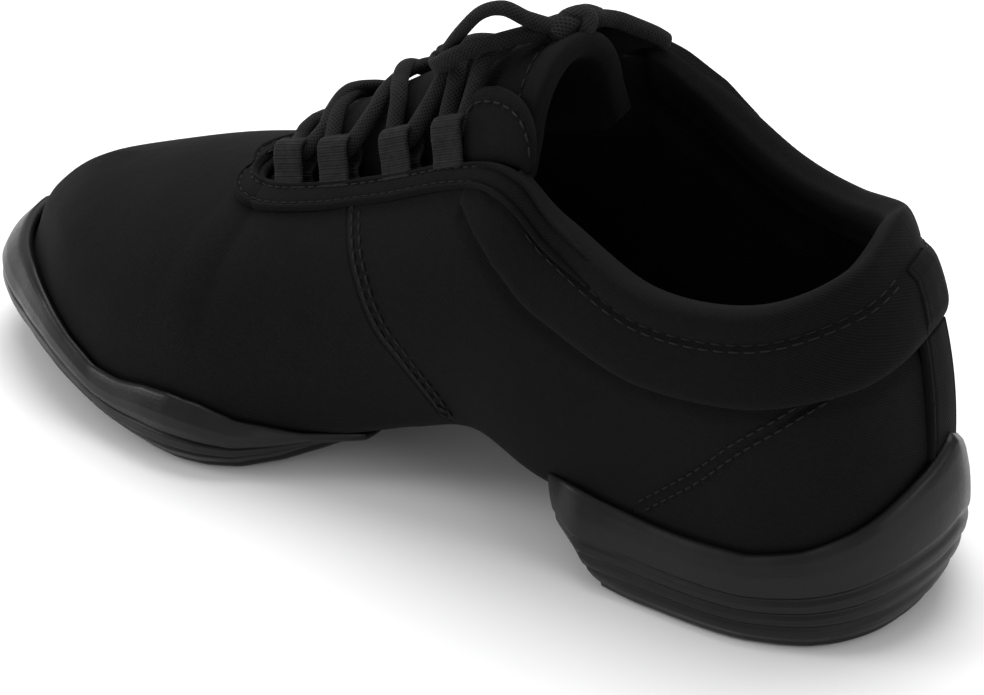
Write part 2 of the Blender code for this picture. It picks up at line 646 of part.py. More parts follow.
def make_loop(name, u):
    """A strap of webbing folded round the lace, standing at the throat's edge."""
    point, along, rise, outside = crown_frame(u)
    middle = LOOP_HOLE * LOOP_HEIGHT
    hole_out = 0.4 * LACE
    hole_up = LOOP_HEIGHT - middle - WEBBING
    hole, strap = [], []
    for k in range(8):
        turn = math.radians(45 * k)
        hole.append((middle + hole_up * math.cos(turn), hole_out * math.sin(turn)))
        if 3 <= k <= 5:
            strap.append((2 * GAP, 0.7 * WEBBING * (4 - k)))
        else:
            strap.append(
                (middle + (hole_up + WEBBING) * math.cos(turn), (hole_out + WEBBING) * math.sin(turn))
            )
    rings = []
    for outline, end in ((strap, -1), (strap, 1), (hole, 1), (hole, -1)):
        base = point + end * 0.5 * LOOP_WIDTH * along
        rings.append([base + up * rise + out * outside for up, out in outline])
    return loft(name, rings, BLACK_WEBBING, round_trip=True)


def make_tab(name, side):
    """The padded tab that rises from the throat's edge behind the last loop."""
    rings = []
    for u, height in TAB_OUTLINE:
        point, _, rise, outside = crown_frame(side * u)
        tall = height * TAB_HEIGHT
        lean = -TAB_LEAN[side] * outside
        thick = TAB * min(1.0, 0.4 + height)
        section = ((0, 0), (0.5, 0), (0.9, 0.1), (1, 0.5), (0.9, 0.9), (0.5, 1), (0, 1))
        rings.append(
            [
                point + (2 * GAP + share * tall) * rise + share * tall * lean + (out - 0.6) * thick * outside
                for share, out in section
            ]
        )
    return loft(name, rings, BLACK_CLOTH)


def tube(name, points, look, radius):
    """A tube along a smooth line of points, as a mesh with welded caps."""
    curve = bpy.data.curves.new(name, "CURVE")
    curve.dimensions = "3D"
    curve.bevel_depth = radius
    curve.bevel_resolution = 2
    curve.use_fill_caps = True
    spline = curve.splines.new("POLY")
    spline.points.add(len(points) - 1)
    for place, point in zip(spline.points, points):
        place.co = (*point, 1.0)
    guide = bpy.data.objects.new(name, curve)
    SHOE.objects.link(guide)
    graph = bpy.context.evaluated_depsgraph_get()
    mesh = bpy.data.meshes.new_from_object(guide.evaluated_get(graph))
    bpy.data.objects.remove(guide)
    bm = bmesh.new()
    bm.from_mesh(mesh)
    bmesh.ops.remove_doubles(bm, verts=bm.verts, dist=1e-6)
    return finish_piece(name, mesh_from(bm), look)


def through(points, count):
    """Count points on a smooth line through the given ones."""
    points = [np.array(point, float) for point in points]
    return [
        smooth_row(points, place, closed=False) for place in np.linspace(0, len(points) - 1, count)
    ]


def tongue_place(x):
    """The tongue's station nearest to a distance along the shoe."""
    xs = [row[0] * LENGTH - HEEL_CENTRE for row in TONGUE]
    return float(np.interp(-x, [-value for value in xs], range(len(xs))))


def lace_over(start_x, end_x):
    """A strand over the tongue, from the big-toe side at start_x to the other side at end_x."""
    strand = []
    for share in np.linspace(0, 1, 9):
        place = tongue_place(start_x + share * (end_x - start_x))
        angle = LACE_ANGLE * (1 - 2 * share)
        strand.append(tongue_point(place, angle, LACE / 2 + 0.0006))
    return strand


def make_lacing():
    """The bar and the crossings between the loops, each crossing one joined solid."""
    xs = [loop_hole(row, 1)[0] for row in LOOP_ROWS]
    clear = 0.26 * LOOP_WIDTH
    tube("lace_bar", lace_over(xs[0] + clear, xs[0] + clear), BLACK_LACE, LACE / 2)
    for k in range(3):
        front, rear = xs[k] - clear, xs[k + 1] + clear
        name = f"lace_cross_{k + 1}"
        cross = tube(name, lace_over(front, rear), BLACK_LACE, LACE / 2)
        other = tube(f"{name}_other", lace_over(rear, front), BLACK_LACE, LACE / 2)
        join_to(cross, other)


def join_to(piece, other):
    """Joins another piece to this one as a single solid."""
    union = piece.modifiers.new("join", "BOOLEAN")
    union.operation = "UNION"
    union.object = other
    graph = bpy.context.evaluated_depsgraph_get()
    mesh = bpy.data.meshes.new_from_object(piece.evaluated_get(graph))
    piece.modifiers.clear()
    piece.data = mesh
    bpy.data.objects.remove(other)


def make_knot():
    """The knot, a plain rounded lump above the tongue's top."""
    rings = []
    for share in np.linspace(-0.92, 0.92, 6):
        reach = math.sqrt(1 - share**2)
        middle = np.array(KNOT) + share * np.array(KNOT_HALF) * (0, 1, 0.25)
        rings.append(
            [
                middle
                + reach * np.array([KNOT_HALF[0] * math.cos(turn), 0.0, KNOT_HALF[2] * math.sin(turn)])
                for turn in np.linspace(0, 2 * math.pi, 8, endpoint=False)
            ]
        )
    return loft("lace_knot", rings, BLACK_LACE)


clear_scene()
SHOE = bpy.data.collections.new("dance_sneaker")
bpy.context.scene.collection.children.link(SHOE)
MATERIALS = {
    look[0]: make_material(*look)
    for look in (BLACK_CLOTH, BLACK_RUBBER, BLACK_LINING, BLACK_WEBBING, BLACK_LACE)
}

make_upper()
make_insole()
make_sole("outsole_front", FRONT_SOLE, FRONT_SIDE, end=6.8, run=1, end_depth=0.006)
make_sole("outsole_heel", HEEL_SOLE, HEEL_SIDE, end=3.85, run=-1, end_depth=0.018)
make_collar()
make_eyestay()
make_back_strip()
make_tongue()
for index, row in enumerate(LOOP_ROWS):
    make_loop(f"loop_left_{index + 1}", row)
    make_loop(f"loop_right_{index + 1}", -row)
make_tab("tab_left", 1)
make_tab("tab_right", -1)
make_lacing()
make_knot()
tube("bow_loop_near", through(BOW_NEAR, 25), BLACK_LACE, LACE / 2)
tube("bow_loop_far", through(BOW_FAR, 20), BLACK_LACE, LACE / 2)
tube("lace_run_near", through(LAST_RUN_NEAR, 12), BLACK_LACE, LACE / 2)
tube("lace_run_far", through(LAST_RUN_FAR, 12), BLACK_LACE, LACE / 2)
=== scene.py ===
import json
from math import asin, copysign, cos, degrees, exp, pi, radians, sin, sqrt, tan

import bmesh
import bpy
import numpy as np
from mathutils import Matrix

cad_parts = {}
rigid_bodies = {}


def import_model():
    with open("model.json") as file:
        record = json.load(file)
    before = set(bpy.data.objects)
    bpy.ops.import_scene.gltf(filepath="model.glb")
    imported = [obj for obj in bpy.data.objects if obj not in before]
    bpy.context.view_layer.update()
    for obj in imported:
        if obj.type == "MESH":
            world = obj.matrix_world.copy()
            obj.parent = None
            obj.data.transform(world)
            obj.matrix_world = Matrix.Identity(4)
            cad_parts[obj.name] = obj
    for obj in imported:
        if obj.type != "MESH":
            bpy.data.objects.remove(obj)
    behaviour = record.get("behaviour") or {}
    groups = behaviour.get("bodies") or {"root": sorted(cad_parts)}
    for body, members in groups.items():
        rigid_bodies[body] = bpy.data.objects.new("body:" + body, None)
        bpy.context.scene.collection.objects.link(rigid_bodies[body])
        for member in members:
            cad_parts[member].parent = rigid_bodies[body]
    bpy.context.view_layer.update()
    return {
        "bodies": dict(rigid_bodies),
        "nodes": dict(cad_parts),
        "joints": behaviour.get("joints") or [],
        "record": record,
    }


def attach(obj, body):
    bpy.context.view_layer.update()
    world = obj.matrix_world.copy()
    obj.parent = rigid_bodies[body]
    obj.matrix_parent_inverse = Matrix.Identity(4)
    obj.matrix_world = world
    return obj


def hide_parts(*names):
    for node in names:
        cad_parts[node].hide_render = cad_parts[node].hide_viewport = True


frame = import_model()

# The looks of a split-sole dance sneaker for the right foot. Its sizes, section tables and surface
# functions repeat those of the CAD source, so that each piece lies where its solid does.

LENGTH, BALL, TALL, HEEL_CENTRE = 0.260, 0.090, 0.090, 0.045
WALL, GAP, END_GAP = 0.002, 0.0004, 0.0003
FEATHER, LASTING = 0.006, 0.012
RUBBER, TREAD_EDGE = 0.0016, 0.002
COLLAR_PAD, COLLAR_INSIDE = 0.0026, 0.0032
BAND = 0.0013
TONGUE_FRONT, TONGUE_TOP = 0.003, 0.0055
TAB, TAB_HEIGHT = 0.0026, 0.0150
LOOP_WIDTH, LOOP_HEIGHT, WEBBING = 0.0093, 0.0105, 0.0010
LACE_WIDE, LACE_THICK = 0.0044, 0.0030
BOW_WIDE, BOW_THICK = 0.0040, 0.0029
BRAID_ROUND = 0.0132  # once round the lace

# Sections round the shoe, from the heel's back to the toe's tip on either side.
# Lean and dip are in degrees, the others in thousandths. The last three hold for both sides.
#   foot x, foot y, foot z, crown x, crown y, crown z, lean, pull, dip, reach
BACK = (29, 0, 222, 70, 0, 989, 8, 350, 62, 360)
BIG_TOE_SIDE = (
    (50, 233, 222, 68, 189, 944, 6, 350, 68, 340),
    (127, 344, 222, 127, 322, 856, 4, 350, 80, 320),
    (238, 350, 222, 223, 344, 833, 6, 350, 78, 320),
    (338, 339, 244, 315, 294, 922, 16, 350, 68, 340),
    (412, 317, 300, 365, 267, 1003, 22, 350, 58, 360),
    (477, 322, 250, 426, 239, 957, 22, 350, 50, 380),
    (542, 356, 189, 501, 211, 853, 18, 380, 44, 400),
    (604, 411, 167, 575, 194, 766, 12, 400, 38, 420),
    (662, 456, 156, 650, 155, 691, 8, 450, 25, 450),
    (719, 467, 156, 688, 0, 670, 6, 450, 16, 500),
    (785, 439, 161, 769, 0, 617, 6, 450, 17, 500),
    (858, 367, 178, 827, 0, 561, 4, 420, 20, 480),
    (935, 211, 211, 869, 0, 517, -8, 360, 22, 420),
)
TIP = (975, 0, 233, 888, 0, 494, -16, 320, 24, 360)
SMALL_TOE_SIDE = (
    (66, -200, 222, 98, -150, 933, 6),
    (135, -333, 222, 165, -283, 858, 4),
    (238, -356, 222, 235, -339, 872, 6),
    (338, -372, 244, 315, -330, 1008, 12),
    (412, -394, 278, 365, -267, 1095, 14),
    (477, -428, 244, 426, -239, 961, 14),
    (542, -467, 189, 501, -211, 856, 12),
    (604, -494, 167, 575, -194, 766, 10),
    (662, -500, 156, 650, -155, 691, 8),
    (719, -478, 156, 688, 0, 670, 6),
    (785, -428, 161, 769, 0, 617, 6),
    (858, -333, 178, 827, 0, 561, 4),
    (940, -190, 211, 869, 0, 517, -8),
)
TIP_ROW, RIDGE_ROW, THROAT_ROW = 14, 10, 9
SPINE = (0.14, 0.83)

# Thousandths, but for row and wall.
#   row, rim, out, floor, under, wall, belly
FRONT_SOLE = (
    (6.8, -550, -115, 82, 0, 0.5, 0),
    (7.5, -250, -90, 52, 0, 0.7, 0),
    (8, -80, -45, 21, 0, 0.9, 4),
    (8.5, 10, -10, 4, 0, 1, 8),
    (9, 50, 5, 0, 0, 1.1, 10),
    (9.5, 60, 8, 0, 0, 1.1, 8),
    (10, 50, 8, 10, 0, 1, 4),
    (10.5, 30, 2, 19, 0, 1, 0),
    (11, 30, -4, 29, 0, 1, 0),
    (11.5, 80, -10, 42, 0, 1.1, 0),
    (12, 160, -11, 56, 0, 1.4, 2),
    (12.5, 220, -8, 68, 0, 1.9, 10),
    (13, 230, 18, 80, 0, 2.5, 16),
    (13.3, 235, 46, 86, 0, 2.6, 19),
    (14, 230, 56, 94, 0, 2.6, 19),
)
#   row, rim on the small-toe side
FAR_RIM = ((11, 0.03), (12, 0.07), (13, 0.11), (13.5, 0.15), (14, 0.23))
HEEL_SOLE = (
    (0, 310, -12, 0, 0, 2, 34),
    (0.25, 260, -10, 0, 0, 1.7, 32),
    (0.5, 220, -6, 0, 0, 1.4, 28),
    (1, 130, 12, 0, 0, 1.2, 16),
    (1.5, 50, 40, 0, 0, 1, 6),
    (2, 0, 50, 0, 0, 1, 4),
    (2.6, -10, 50, 0, 4, 1, 4),
    (3, 10, 50, 0, 10, 1, 6),
    (3.5, 30, 38, 0, 27, 1, 22),
)
END_BELLY, END_BOW, BOW_UNDER = 0.032, 2.6, 0.032
RIB = 0.0025
#   down, out
FRONT_SIDE = (
    (0, 0), (0.06, 0.25), (0.2, 0.75), (0.36, 1), (0.49, 0.92), (0.54, 0.4), (0.59, 0.88),
    (0.73, 1), (0.77, 0.55), (0.81, 0.9), (0.93, 0.6), (1, 0),
)
HEEL_SIDE = (
    (0, 0), (0.05, 0.2), (0.2, 0.42), (0.42, 0.58), (0.465, 0.3), (0.52, 0.64), (0.6, 0.66),
    (0.635, 0.32), (0.69, 0.64), (0.76, 0.62), (0.795, 0.3), (0.85, 0.54), (0.93, 0.4), (1, 0),
)
#   row, v
COLLAR_SEAM = (
    (0, 0.66), (1, 0.62), (2, 0.6), (3, 0.6), (3.75, 0.63), (4.3, 0.645), (4.85, 0.68), (5.3, 0.76),
    (5.72, 0.86),
)
BAND_EDGE = (
    (4, 0.875), (5, 0.885), (5.6, 0.91), (6.4, 0.905), (7.4, 0.9), (8.2, 0.885), (9, 0.88),
)
WALL_TOP = 0.955
#   x, y, z, half width and drop in thousandths, tilt in degrees
TONGUE = np.array((
    (735, 0, 545, 130, 50, 70),
    (700, 0, 595, 120, 60, 62),
    (668, 0, 692, 85, 60, 56),
    (623, 0, 830, 140, 105, 56),
    (569, 0, 930, 146, 125, 60),
    (508, 2, 1040, 146, 140, 66),
    (454, 8, 1125, 150, 160, 72),
    (405, 15, 1190, 175, 190, 80),
    (358, 25, 1240, 200, 235, 92),
)) / (1000, 1000, 1000, 1000, 1000, 1)
TONGUE_SPREAD, TONGUE_WING = 80, (0.05, 0.13)
TONGUE_STEP, TONGUE_STITCH = 0.0125, 0.0085
TONGUE_ROUND, TONGUE_CORNER = 0.003, 0.010
LOOP_ROWS = (8.55, 7.86, 6.90, 6.11)
LOOP_HOLE = 0.66
STRAP_LEAN = radians(20)
TAB_LEAN = {1: 0.05, -1: 0.35}
TAB_INSET, TAB_STITCH = 0.6, 0.78
TAB_OUTLINE = (
    (4.74, 0.1), (4.87, 0.36), (4.98, 0.58), (5.1, 0.78), (5.25, 0.91), (5.45, 0.98), (5.7, 0.97),
    (5.84, 0.84), (5.92, 0.55),
)

# Seams on the upper, as (u, v): the vamp's rear edge and the counter's.
VAMP_SEAM = (
    (7.62, 0.96), (7.35, 0.81), (7.12, 0.7), (6.87, 0.6), (6.6, 0.49), (6.3, 0.38), (5.95, 0.27),
    (5.55, 0.1), (5.3, -0.1), (5.15, -0.55), (5.1, -1),
)
COUNTER_SEAM = ((1.15, 0.66), (1.35, 0.62), (1.65, 0.56), (2.10, 0.43), (2.50, 0.24), (2.95, 0.03))

UP = np.array([0.0, 0.0, 1.0])
SIDE_NAMES = {1: "left", -1: "right"}


def section_row(row):
    foot, crown = (
        np.array(part) / 1000 * (LENGTH, BALL, TALL) - (HEEL_CENTRE, 0, 0) for part in (row[:3], row[3:6])
    )
    lean, pull, dip, reach = row[6:]
    return [*foot, *crown, radians(lean), pull / 1000, radians(dip), reach / 1000]


SMALL = [(*small, *big[7:]) for small, big in zip(SMALL_TOE_SIDE, BIG_TOE_SIDE)]
SECTIONS = np.array([section_row(row) for row in (BACK, *BIG_TOE_SIDE, TIP, *reversed(SMALL))])


def unit(vectors):
    return vectors / np.maximum(np.linalg.norm(vectors, axis=-1, keepdims=True), 1e-12)


def smooth_row(rows, place, closed):
    """The table's values at a place between rows, on a smooth curve through them."""
    index = int(np.floor(place))
    part = place - index
    count = len(rows)
    before, start, end, after = (
        np.array(rows[(index + k) % count if closed else min(max(index + k, 0), count - 1)], float)
        for k in (-1, 0, 1, 2)
    )
    return 0.5 * (
        2 * start
        + (end - before) * part
        + (2 * before - 5 * start + 4 * end - after) * part**2
        + (3 * start - before - 3 * end + after) * part**3
    )


def outward(foot):
    low, high = (share * LENGTH - HEEL_CENTRE for share in SPINE)
    return unit(foot - np.array([min(max(foot[0], low), high), 0, foot[2]]))


CURVES = {}


def wall_curve(u):
    """The control points of the wall's two curves at u: foot, low, high, crown, corner, end."""
    if u in CURVES:
        return CURVES[u]
    values = smooth_row(SECTIONS, u, closed=True)
    foot, crown = values[0:3], values[3:6]
    lean, pull, dip, reach = values[6:]
    turn = (abs(u) - THROAT_ROW) * pi / 2
    if abs(u) >= RIDGE_ROW:
        crown[1] = 0.0
    elif turn > 0:
        side, front = SECTIONS[THROAT_ROW, 3:6], SECTIONS[RIDGE_ROW, 3:6]
        crown = side + sin(turn) * (front - side)
        crown[1] = copysign(cos(turn) * side[1], u)
    away = outward(foot)
    span = np.linalg.norm(crown - foot)
    on_ridge = min(max(abs(u) - THROAT_ROW, 0), 1)
    fall = tan(dip) * (1 - on_ridge + on_ridge * away[0])
    low = foot + span * pull * (sin(lean) * away + cos(lean) * UP)
    high = crown + span * reach * unit(away - fall * UP)
    corner = foot - FEATHER * (tan(lean) * away + UP)
    end = foot - LASTING * away - FEATHER * UP
    CURVES[u] = np.array([foot, low, high, crown, corner, end])
    return CURVES[u]


def wall_points(u, v):
    u, v = np.broadcast_arrays(np.asarray(u, float), np.asarray(v, float))
    known, index = np.unique(np.round(u, 6), return_inverse=True)
    curves = np.array([wall_curve(float(x)) for x in known])[index.reshape(u.shape)]
    foot, low, high, crown, corner, end = (curves[..., k, :] for k in range(6))
    t, s = np.clip(v, 0, 1)[..., None], np.clip(-v, 0, 1)[..., None]
    up = (1 - t) ** 3 * foot + 3 * t * (1 - t) ** 2 * low + 3 * t * t * (1 - t) * high + t**3 * crown
    down = (1 - s) ** 2 * foot + 2 * s * (1 - s) * corner + s * s * end
    return np.where(v[..., None] < 0, down, up)


def normals(u, v):
    """The upper's outward direction at each place."""
    u, v = np.broadcast_arrays(np.asarray(u, float), np.asarray(v, float))
    small = 0.01
    low, high = np.maximum(v - small, -1.0), np.minimum(v + small, 1)
    middle = (low + high) / 2
    along = wall_points(u + small, middle) - wall_points(u - small, middle)
    normal = np.cross(wall_points(u, high) - wall_points(u, low), along)
    on_ridge = (v > 0.999) & (np.abs(u) >= RIDGE_ROW)
    normal[..., 1] = np.where(on_ridge, 0, normal[..., 1])
    return unit(normal)


def last(u, v, out=0.0):
    """Points of the upper's outer face, or out metres off it."""
    return wall_points(u, v) + np.asarray(out)[..., None] * normals(u, v)


def arch(u, side):
    small_toe, big_toe = last(-u, -1.0), last(u, -1.0)
    return (small_toe * (1 - side) + big_toe * (1 + side)) / 2


def table_at(table, u):
    """A table's value at a section, the same on both sides of the shoe."""
    rows = np.array(table)
    return np.interp(np.abs(u), rows[:, 0], rows[:, 1])


# Materials


WAVE_SCALE = 0.314  # a wave texture's scale for bands one metre apart
RIB_ANGLE, BRAID_ANGLE = 58, 38
BRAID_PITCH, RIB_PITCH = 0.00072, 0.0006
SEAM_EDGE, SEAM_GROOVE = 0.0004, 0.0011


class Shader:
    """A node material with short calls for its nodes."""

    def __init__(self, name, roughness, **settings):
        self.material = bpy.data.materials.new(name)
        self.material.use_nodes = True
        self.tree = self.material.node_tree
        self.main = self.tree.nodes["Principled BSDF"]
        self.main.inputs["Roughness"].default_value = roughness
        for key, value in settings.items():
            self.main.inputs[key.replace("_", " ")].default_value = value

    def link(self, output, name):
        self.tree.links.new(output, self.main.inputs[name])

    def node(self, kind, inputs, **settings):
        made = self.tree.nodes.new("ShaderNode" + kind)
        for key, value in settings.items():
            setattr(made, key, value)
        for key, value in inputs.items():
            if isinstance(value, bpy.types.NodeSocket):
                self.tree.links.new(value, made.inputs[key])
            else:
                made.inputs[key].default_value = value
        return made

    def math(self, operation, first, second=0.0, third=0.0):
        inputs = dict(enumerate((first, second, third)))
        return self.node("Math", inputs, operation=operation).outputs[0]

    def noise(self, vector, scale, detail=3.0, roughness=0.5):
        inputs = {"Scale": scale, "Detail": detail, "Roughness": roughness, "Vector": vector}
        return self.node("TexNoise", inputs).outputs["Fac"]

    def ramp(self, value, low, high, start=0.0, end=1.0):
        inputs = {"Value": value, "From Min": low, "From Max": high, "To Min": start, "To Max": end}
        return self.node("MapRange", inputs, interpolation_type="SMOOTHSTEP").outputs[0]

    def attribute(self, name):
        return self.node("Attribute", {}, attribute_name=name).outputs["Fac"]

    def uv(self):
        return self.node("UVMap", {}, uv_map="metres").outputs[0]

    def place(self):
        return self.node("TexCoord", {}).outputs["Object"]

    def turned(self, vector, degrees):
        turn = (0, 0, radians(degrees))
        return self.node("Mapping", {"Vector": vector, "Rotation": turn}).outputs[0]

    def wave(self, vector, pitch, distortion, detail=2.0, detail_scale=1.0, direction="X"):
        """Bands with a pitch in metres."""
        inputs = {
            "Vector": vector, "Scale": WAVE_SCALE / pitch, "Distortion": distortion, "Detail": detail,
            "Detail Scale": detail_scale,
        }
        return self.node("TexWave", inputs, bands_direction=direction).outputs["Fac"]

    def colour(self, value, *greys):
        """Blends two colours, each given as its red and green in one number, and its blue."""
        first, second = ((grey, grey, blue, 1) for grey, blue in greys)
        made = self.node("Mix", {"Factor": value, 6: first, 7: second}, data_type="RGBA")
        self.link(made.outputs[2], "Base Color")

    def roughness(self, value, low, high):
        self.link(self.ramp(value, 0.3, 0.7, low, high), "Roughness")

    def bump(self, height, metres=1.0, strength=1.0):
        """Adds a bump as high as metres where height is 1, on top of those before it."""
        height = self.math("MULTIPLY", height, metres)
        made = self.node("Bump", {"Height": height, "Strength": strength, "Distance": 1.0})
        before = self.main.inputs["Normal"].links
        if before:
            self.tree.links.new(before[0].from_socket, made.inputs["Normal"])
        self.link(made.outputs[0], "Normal")


def twill(name, dark, light, pitch=0.00058, height=0.00006, seams=()):
    """Black twill: fine diagonal ribs, broken threads and a soft nap."""
    s = Shader(name, 0.85, Specular_IOR_Level=0.06, Sheen_Weight=0.012, Sheen_Roughness=0.45)
    uv, place = s.uv(), s.place()
    wave = s.wave(s.turned(uv, RIB_ANGLE), pitch, 2.2, 1, 3.0)
    thread = s.wave(uv, 0.8 * pitch, 3.0, 1, direction="Y")
    cloud = s.noise(place, 45.0)
    lint = s.noise(place, 900.0, 2.0)
    weave = s.math("MULTIPLY_ADD", thread, 0.45, wave)
    tone = s.math("MULTIPLY_ADD", weave, 0.35, s.math("MULTIPLY_ADD", lint, 0.4, cloud))
    s.colour(s.ramp(tone, 0.55, 1.35), dark, light)
    s.roughness(cloud, 0.74, 0.92)
    s.bump(weave, height, 0.9)
    s.bump(s.noise(place, 260.0, 4.0), 0.00035, 0.5)
    for attribute, step, groove in seams:
        away = s.attribute(attribute)
        edge = s.ramp(away, -SEAM_EDGE, SEAM_EDGE, 0, step)
        near = s.ramp(s.math("ABSOLUTE", away), 0, SEAM_GROOVE, -groove, 0)
        s.bump(s.math("ADD", edge, near))
    return s.material


def rubber():
    """Moulded black rubber: satin, a little cloudy, with a fine orange peel."""
    s = Shader("black_rubber", 0.4, Specular_IOR_Level=0.22, Coat_Weight=0.03, Coat_Roughness=0.25)
    place = s.place()
    cloud = s.noise(place, 60.0, 4.0)
    fine = s.noise(place, 1500.0, 2.0)
    s.colour(s.ramp(cloud, 0.3, 0.75), (0.0030, 0.0031), (0.0065, 0.0067))
    s.roughness(s.math("MULTIPLY_ADD", fine, 0.25, s.math("MULTIPLY", cloud, 0.75)), 0.30, 0.50)
    s.bump(fine, 0.00005, 0.7)
    s.bump(s.noise(place, 120.0, 3.0), 0.0003, 0.5)
    return s.material


def braid():
    """Braided black lace: two families of strands wound round it."""
    s = Shader("black_braid", 0.8, Specular_IOR_Level=0.10, Sheen_Weight=0.02, Sheen_Roughness=0.4)
    uv = s.uv()
    woven = s.math(
        "MAXIMUM", *(s.wave(s.turned(uv, turn), BRAID_PITCH, 0.8) for turn in (BRAID_ANGLE, -BRAID_ANGLE))
    )
    tone = s.math("MULTIPLY_ADD", s.noise(s.place(), 500.0), 0.5, s.math("MULTIPLY", woven, 0.5))
    s.colour(s.ramp(tone, 0.3, 0.8), (0.0030, 0.0031), (0.0120, 0.0124))
    s.bump(woven, 0.00022)
    return s.material


def webbing():
    """Webbing with fine ribs across it."""
    s = Shader("black_webbing", 0.75, Specular_IOR_Level=0.12, Sheen_Weight=0.02)
    cross = s.wave(s.uv(), RIB_PITCH, 1)
    tone = s.math("MULTIPLY_ADD", cross, 0.3, s.noise(s.place(), 700.0))
    s.colour(s.ramp(tone, 0.4, 1), (0.0035, 0.0036), (0.0140, 0.0145))
    s.bump(cross, 0.00012)
    return s.material


def thread():
    s = Shader("black_thread", 0.6, Specular_IOR_Level=0.15)
    s.colour(s.noise(s.place(), 2500.0), (0.0025, 0.0026), (0.0080, 0.0082))
    return s.material


CLOTH = twill(
    "black_twill", (0.0025, 0.0026), (0.0068, 0.0070),
    seams=(("vamp_seam", 0.0001, 0.0005), ("counter_seam", 0.0002, 0.0004)),
)
# The upper's twill painted darker for the padded pieces. This is painted shade for the collar, and the
# eyestay, tongue, tabs and back strip share it.
SHADED_PADDED_CLOTH = twill("padded_twill_painted_shade", (0.0021, 0.0022), (0.0058, 0.0060))
LINING = twill("black_lining", (0.0028, 0.0029), (0.0080, 0.0083), 0.0009, 0.00016)
RUBBER_LOOK, BRAID, WEBBING_LOOK, THREAD = rubber(), braid(), webbing(), thread()


# Meshes


def put(name, data):
    """Adds an object to the scene."""
    made = bpy.data.objects.new(name, data)
    bpy.context.scene.collection.objects.link(made)
    return made


def dress(name, mesh, materials, nodes=()):
    """Makes an object of a mesh, which rides on the shoe and replaces its CAD solids."""
    piece = put(name, mesh)
    for material in materials:
        mesh.materials.append(material)
    mesh.shade_smooth()
    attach(piece, "root")
    if nodes:
        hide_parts(*nodes)
    return piece


def lengths(points, axis):
    """The distance along each grid line from its start."""
    steps = np.linalg.norm(np.diff(points, axis=axis), axis=-1)
    total = np.cumsum(steps, axis=axis)
    zero = np.zeros_like(np.take(total, [0], axis=axis))
    return np.concatenate([zero, total], axis=axis)


WRAP_STEP = 1.2  # of a grid step, for the faces that close the grid


def grid_mesh(name, points, wrap=(False, False), caps=False, attributes=None, uv=None):
    """A mesh over a grid of points, with a UV map in metres."""
    rows, columns = points.shape[:2]
    if uv is None:
        along, across = lengths(points, 0), lengths(points, 1)
        along = np.broadcast_to(along.mean(axis=1, keepdims=True), along.shape)
        uv = np.stack([along, across], -1)
    flat_uv = uv.reshape(-1, 2)
    index = np.arange(rows * columns).reshape(rows, columns)
    i_count, j_count = rows - (not wrap[0]), columns - (not wrap[1])
    i, j = np.meshgrid(np.arange(i_count), np.arange(j_count), indexing="ij")
    i2, j2 = (i + 1) % rows, (j + 1) % columns
    faces = np.stack([index[i, j], index[i2, j], index[i2, j2], index[i, j2]], -1).reshape(-1, 4)
    corner_uv = flat_uv[faces]
    span = np.ptp(corner_uv, axis=1)
    for axis, count in enumerate((rows, columns)):
        size = np.ptp(flat_uv[:, axis])
        turned = span[:, axis] > 0.5 * max(size, 1e-9)
        if wrap[axis] and turned.any():
            whole = size + WRAP_STEP * size / count
            low = corner_uv[turned, :, axis] < 0.5 * whole
            corner_uv[turned, :, axis] += low * whole
    polygons = [tuple(face) for face in faces]
    corner_uv = corner_uv.reshape(-1, 2)
    if caps:
        for ring in (index[0], index[-1][::-1]):
            polygons.append(tuple(ring))
            corner_uv = np.vstack([corner_uv, flat_uv[ring]])
    mesh = bpy.data.meshes.new(name)
    mesh.from_pydata(points.reshape(-1, 3).tolist(), [], polygons)
    layer = mesh.uv_layers.new(name="metres")
    layer.data.foreach_set("uv", corner_uv.astype(np.float32).ravel())
    for key, values in (attributes or {}).items():
        mesh.attributes.new(key, "FLOAT", "POINT").data.foreach_set(
            "value", np.asarray(values, np.float32).ravel()
        )
    return mesh


def opened(mesh):
    bm = bmesh.new()
    bm.from_mesh(mesh)
    return bm


def close(bm, mesh):
    """Turns the faces outward and puts them in the mesh."""
    bmesh.ops.recalc_face_normals(bm, faces=bm.faces)
    bm.to_mesh(mesh)
    bm.free()
    return mesh


def fill(bm, lines, made=()):
    """Adds faces between lines of vertices. Their UV map, and that of made, is x and y."""
    uv = bm.loops.layers.uv["metres"]
    corners = [
        (first[j], first[j + 1], second[j + 1], second[j])
        for first, second in zip(lines, lines[1:])
        for j in range(len(first) - 1)
    ]
    for face in [*made, *(bm.faces.new(four) for four in corners if len(set(four)) == 4)]:
        for loop in face.loops:
            loop[uv].uv = loop.vert.co.xy


def outward_facing(mesh):
    return close(opened(mesh), mesh)


def ring_mesh(name, rings, uv=None):
    """A closed mesh through rings of points, capped at both ends."""
    return outward_facing(grid_mesh(name, np.array(rings), wrap=(False, True), caps=True, uv=uv))


def run_along(path):
    """The distance along a path at each of its points."""
    return np.concatenate([[0], np.cumsum(np.linalg.norm(np.diff(path, axis=0), axis=1))])


def at_run(path, run, marks):
    """A path's values at distances along it."""
    return np.stack([np.interp(marks, run, column) for column in path.T], -1)


def smooth_line(points, count, closed=False):
    """Count points, evenly spaced, on a smooth line through the given ones."""
    points = np.array(points, float)
    top = len(points) if closed else len(points) - 1
    fine = np.array([smooth_row(points, p, closed) for p in np.linspace(0, top, 24 * len(points))])
    run = run_along(fine)
    return at_run(fine, run, np.linspace(0, run[-1], count))


CHUNK = 4000


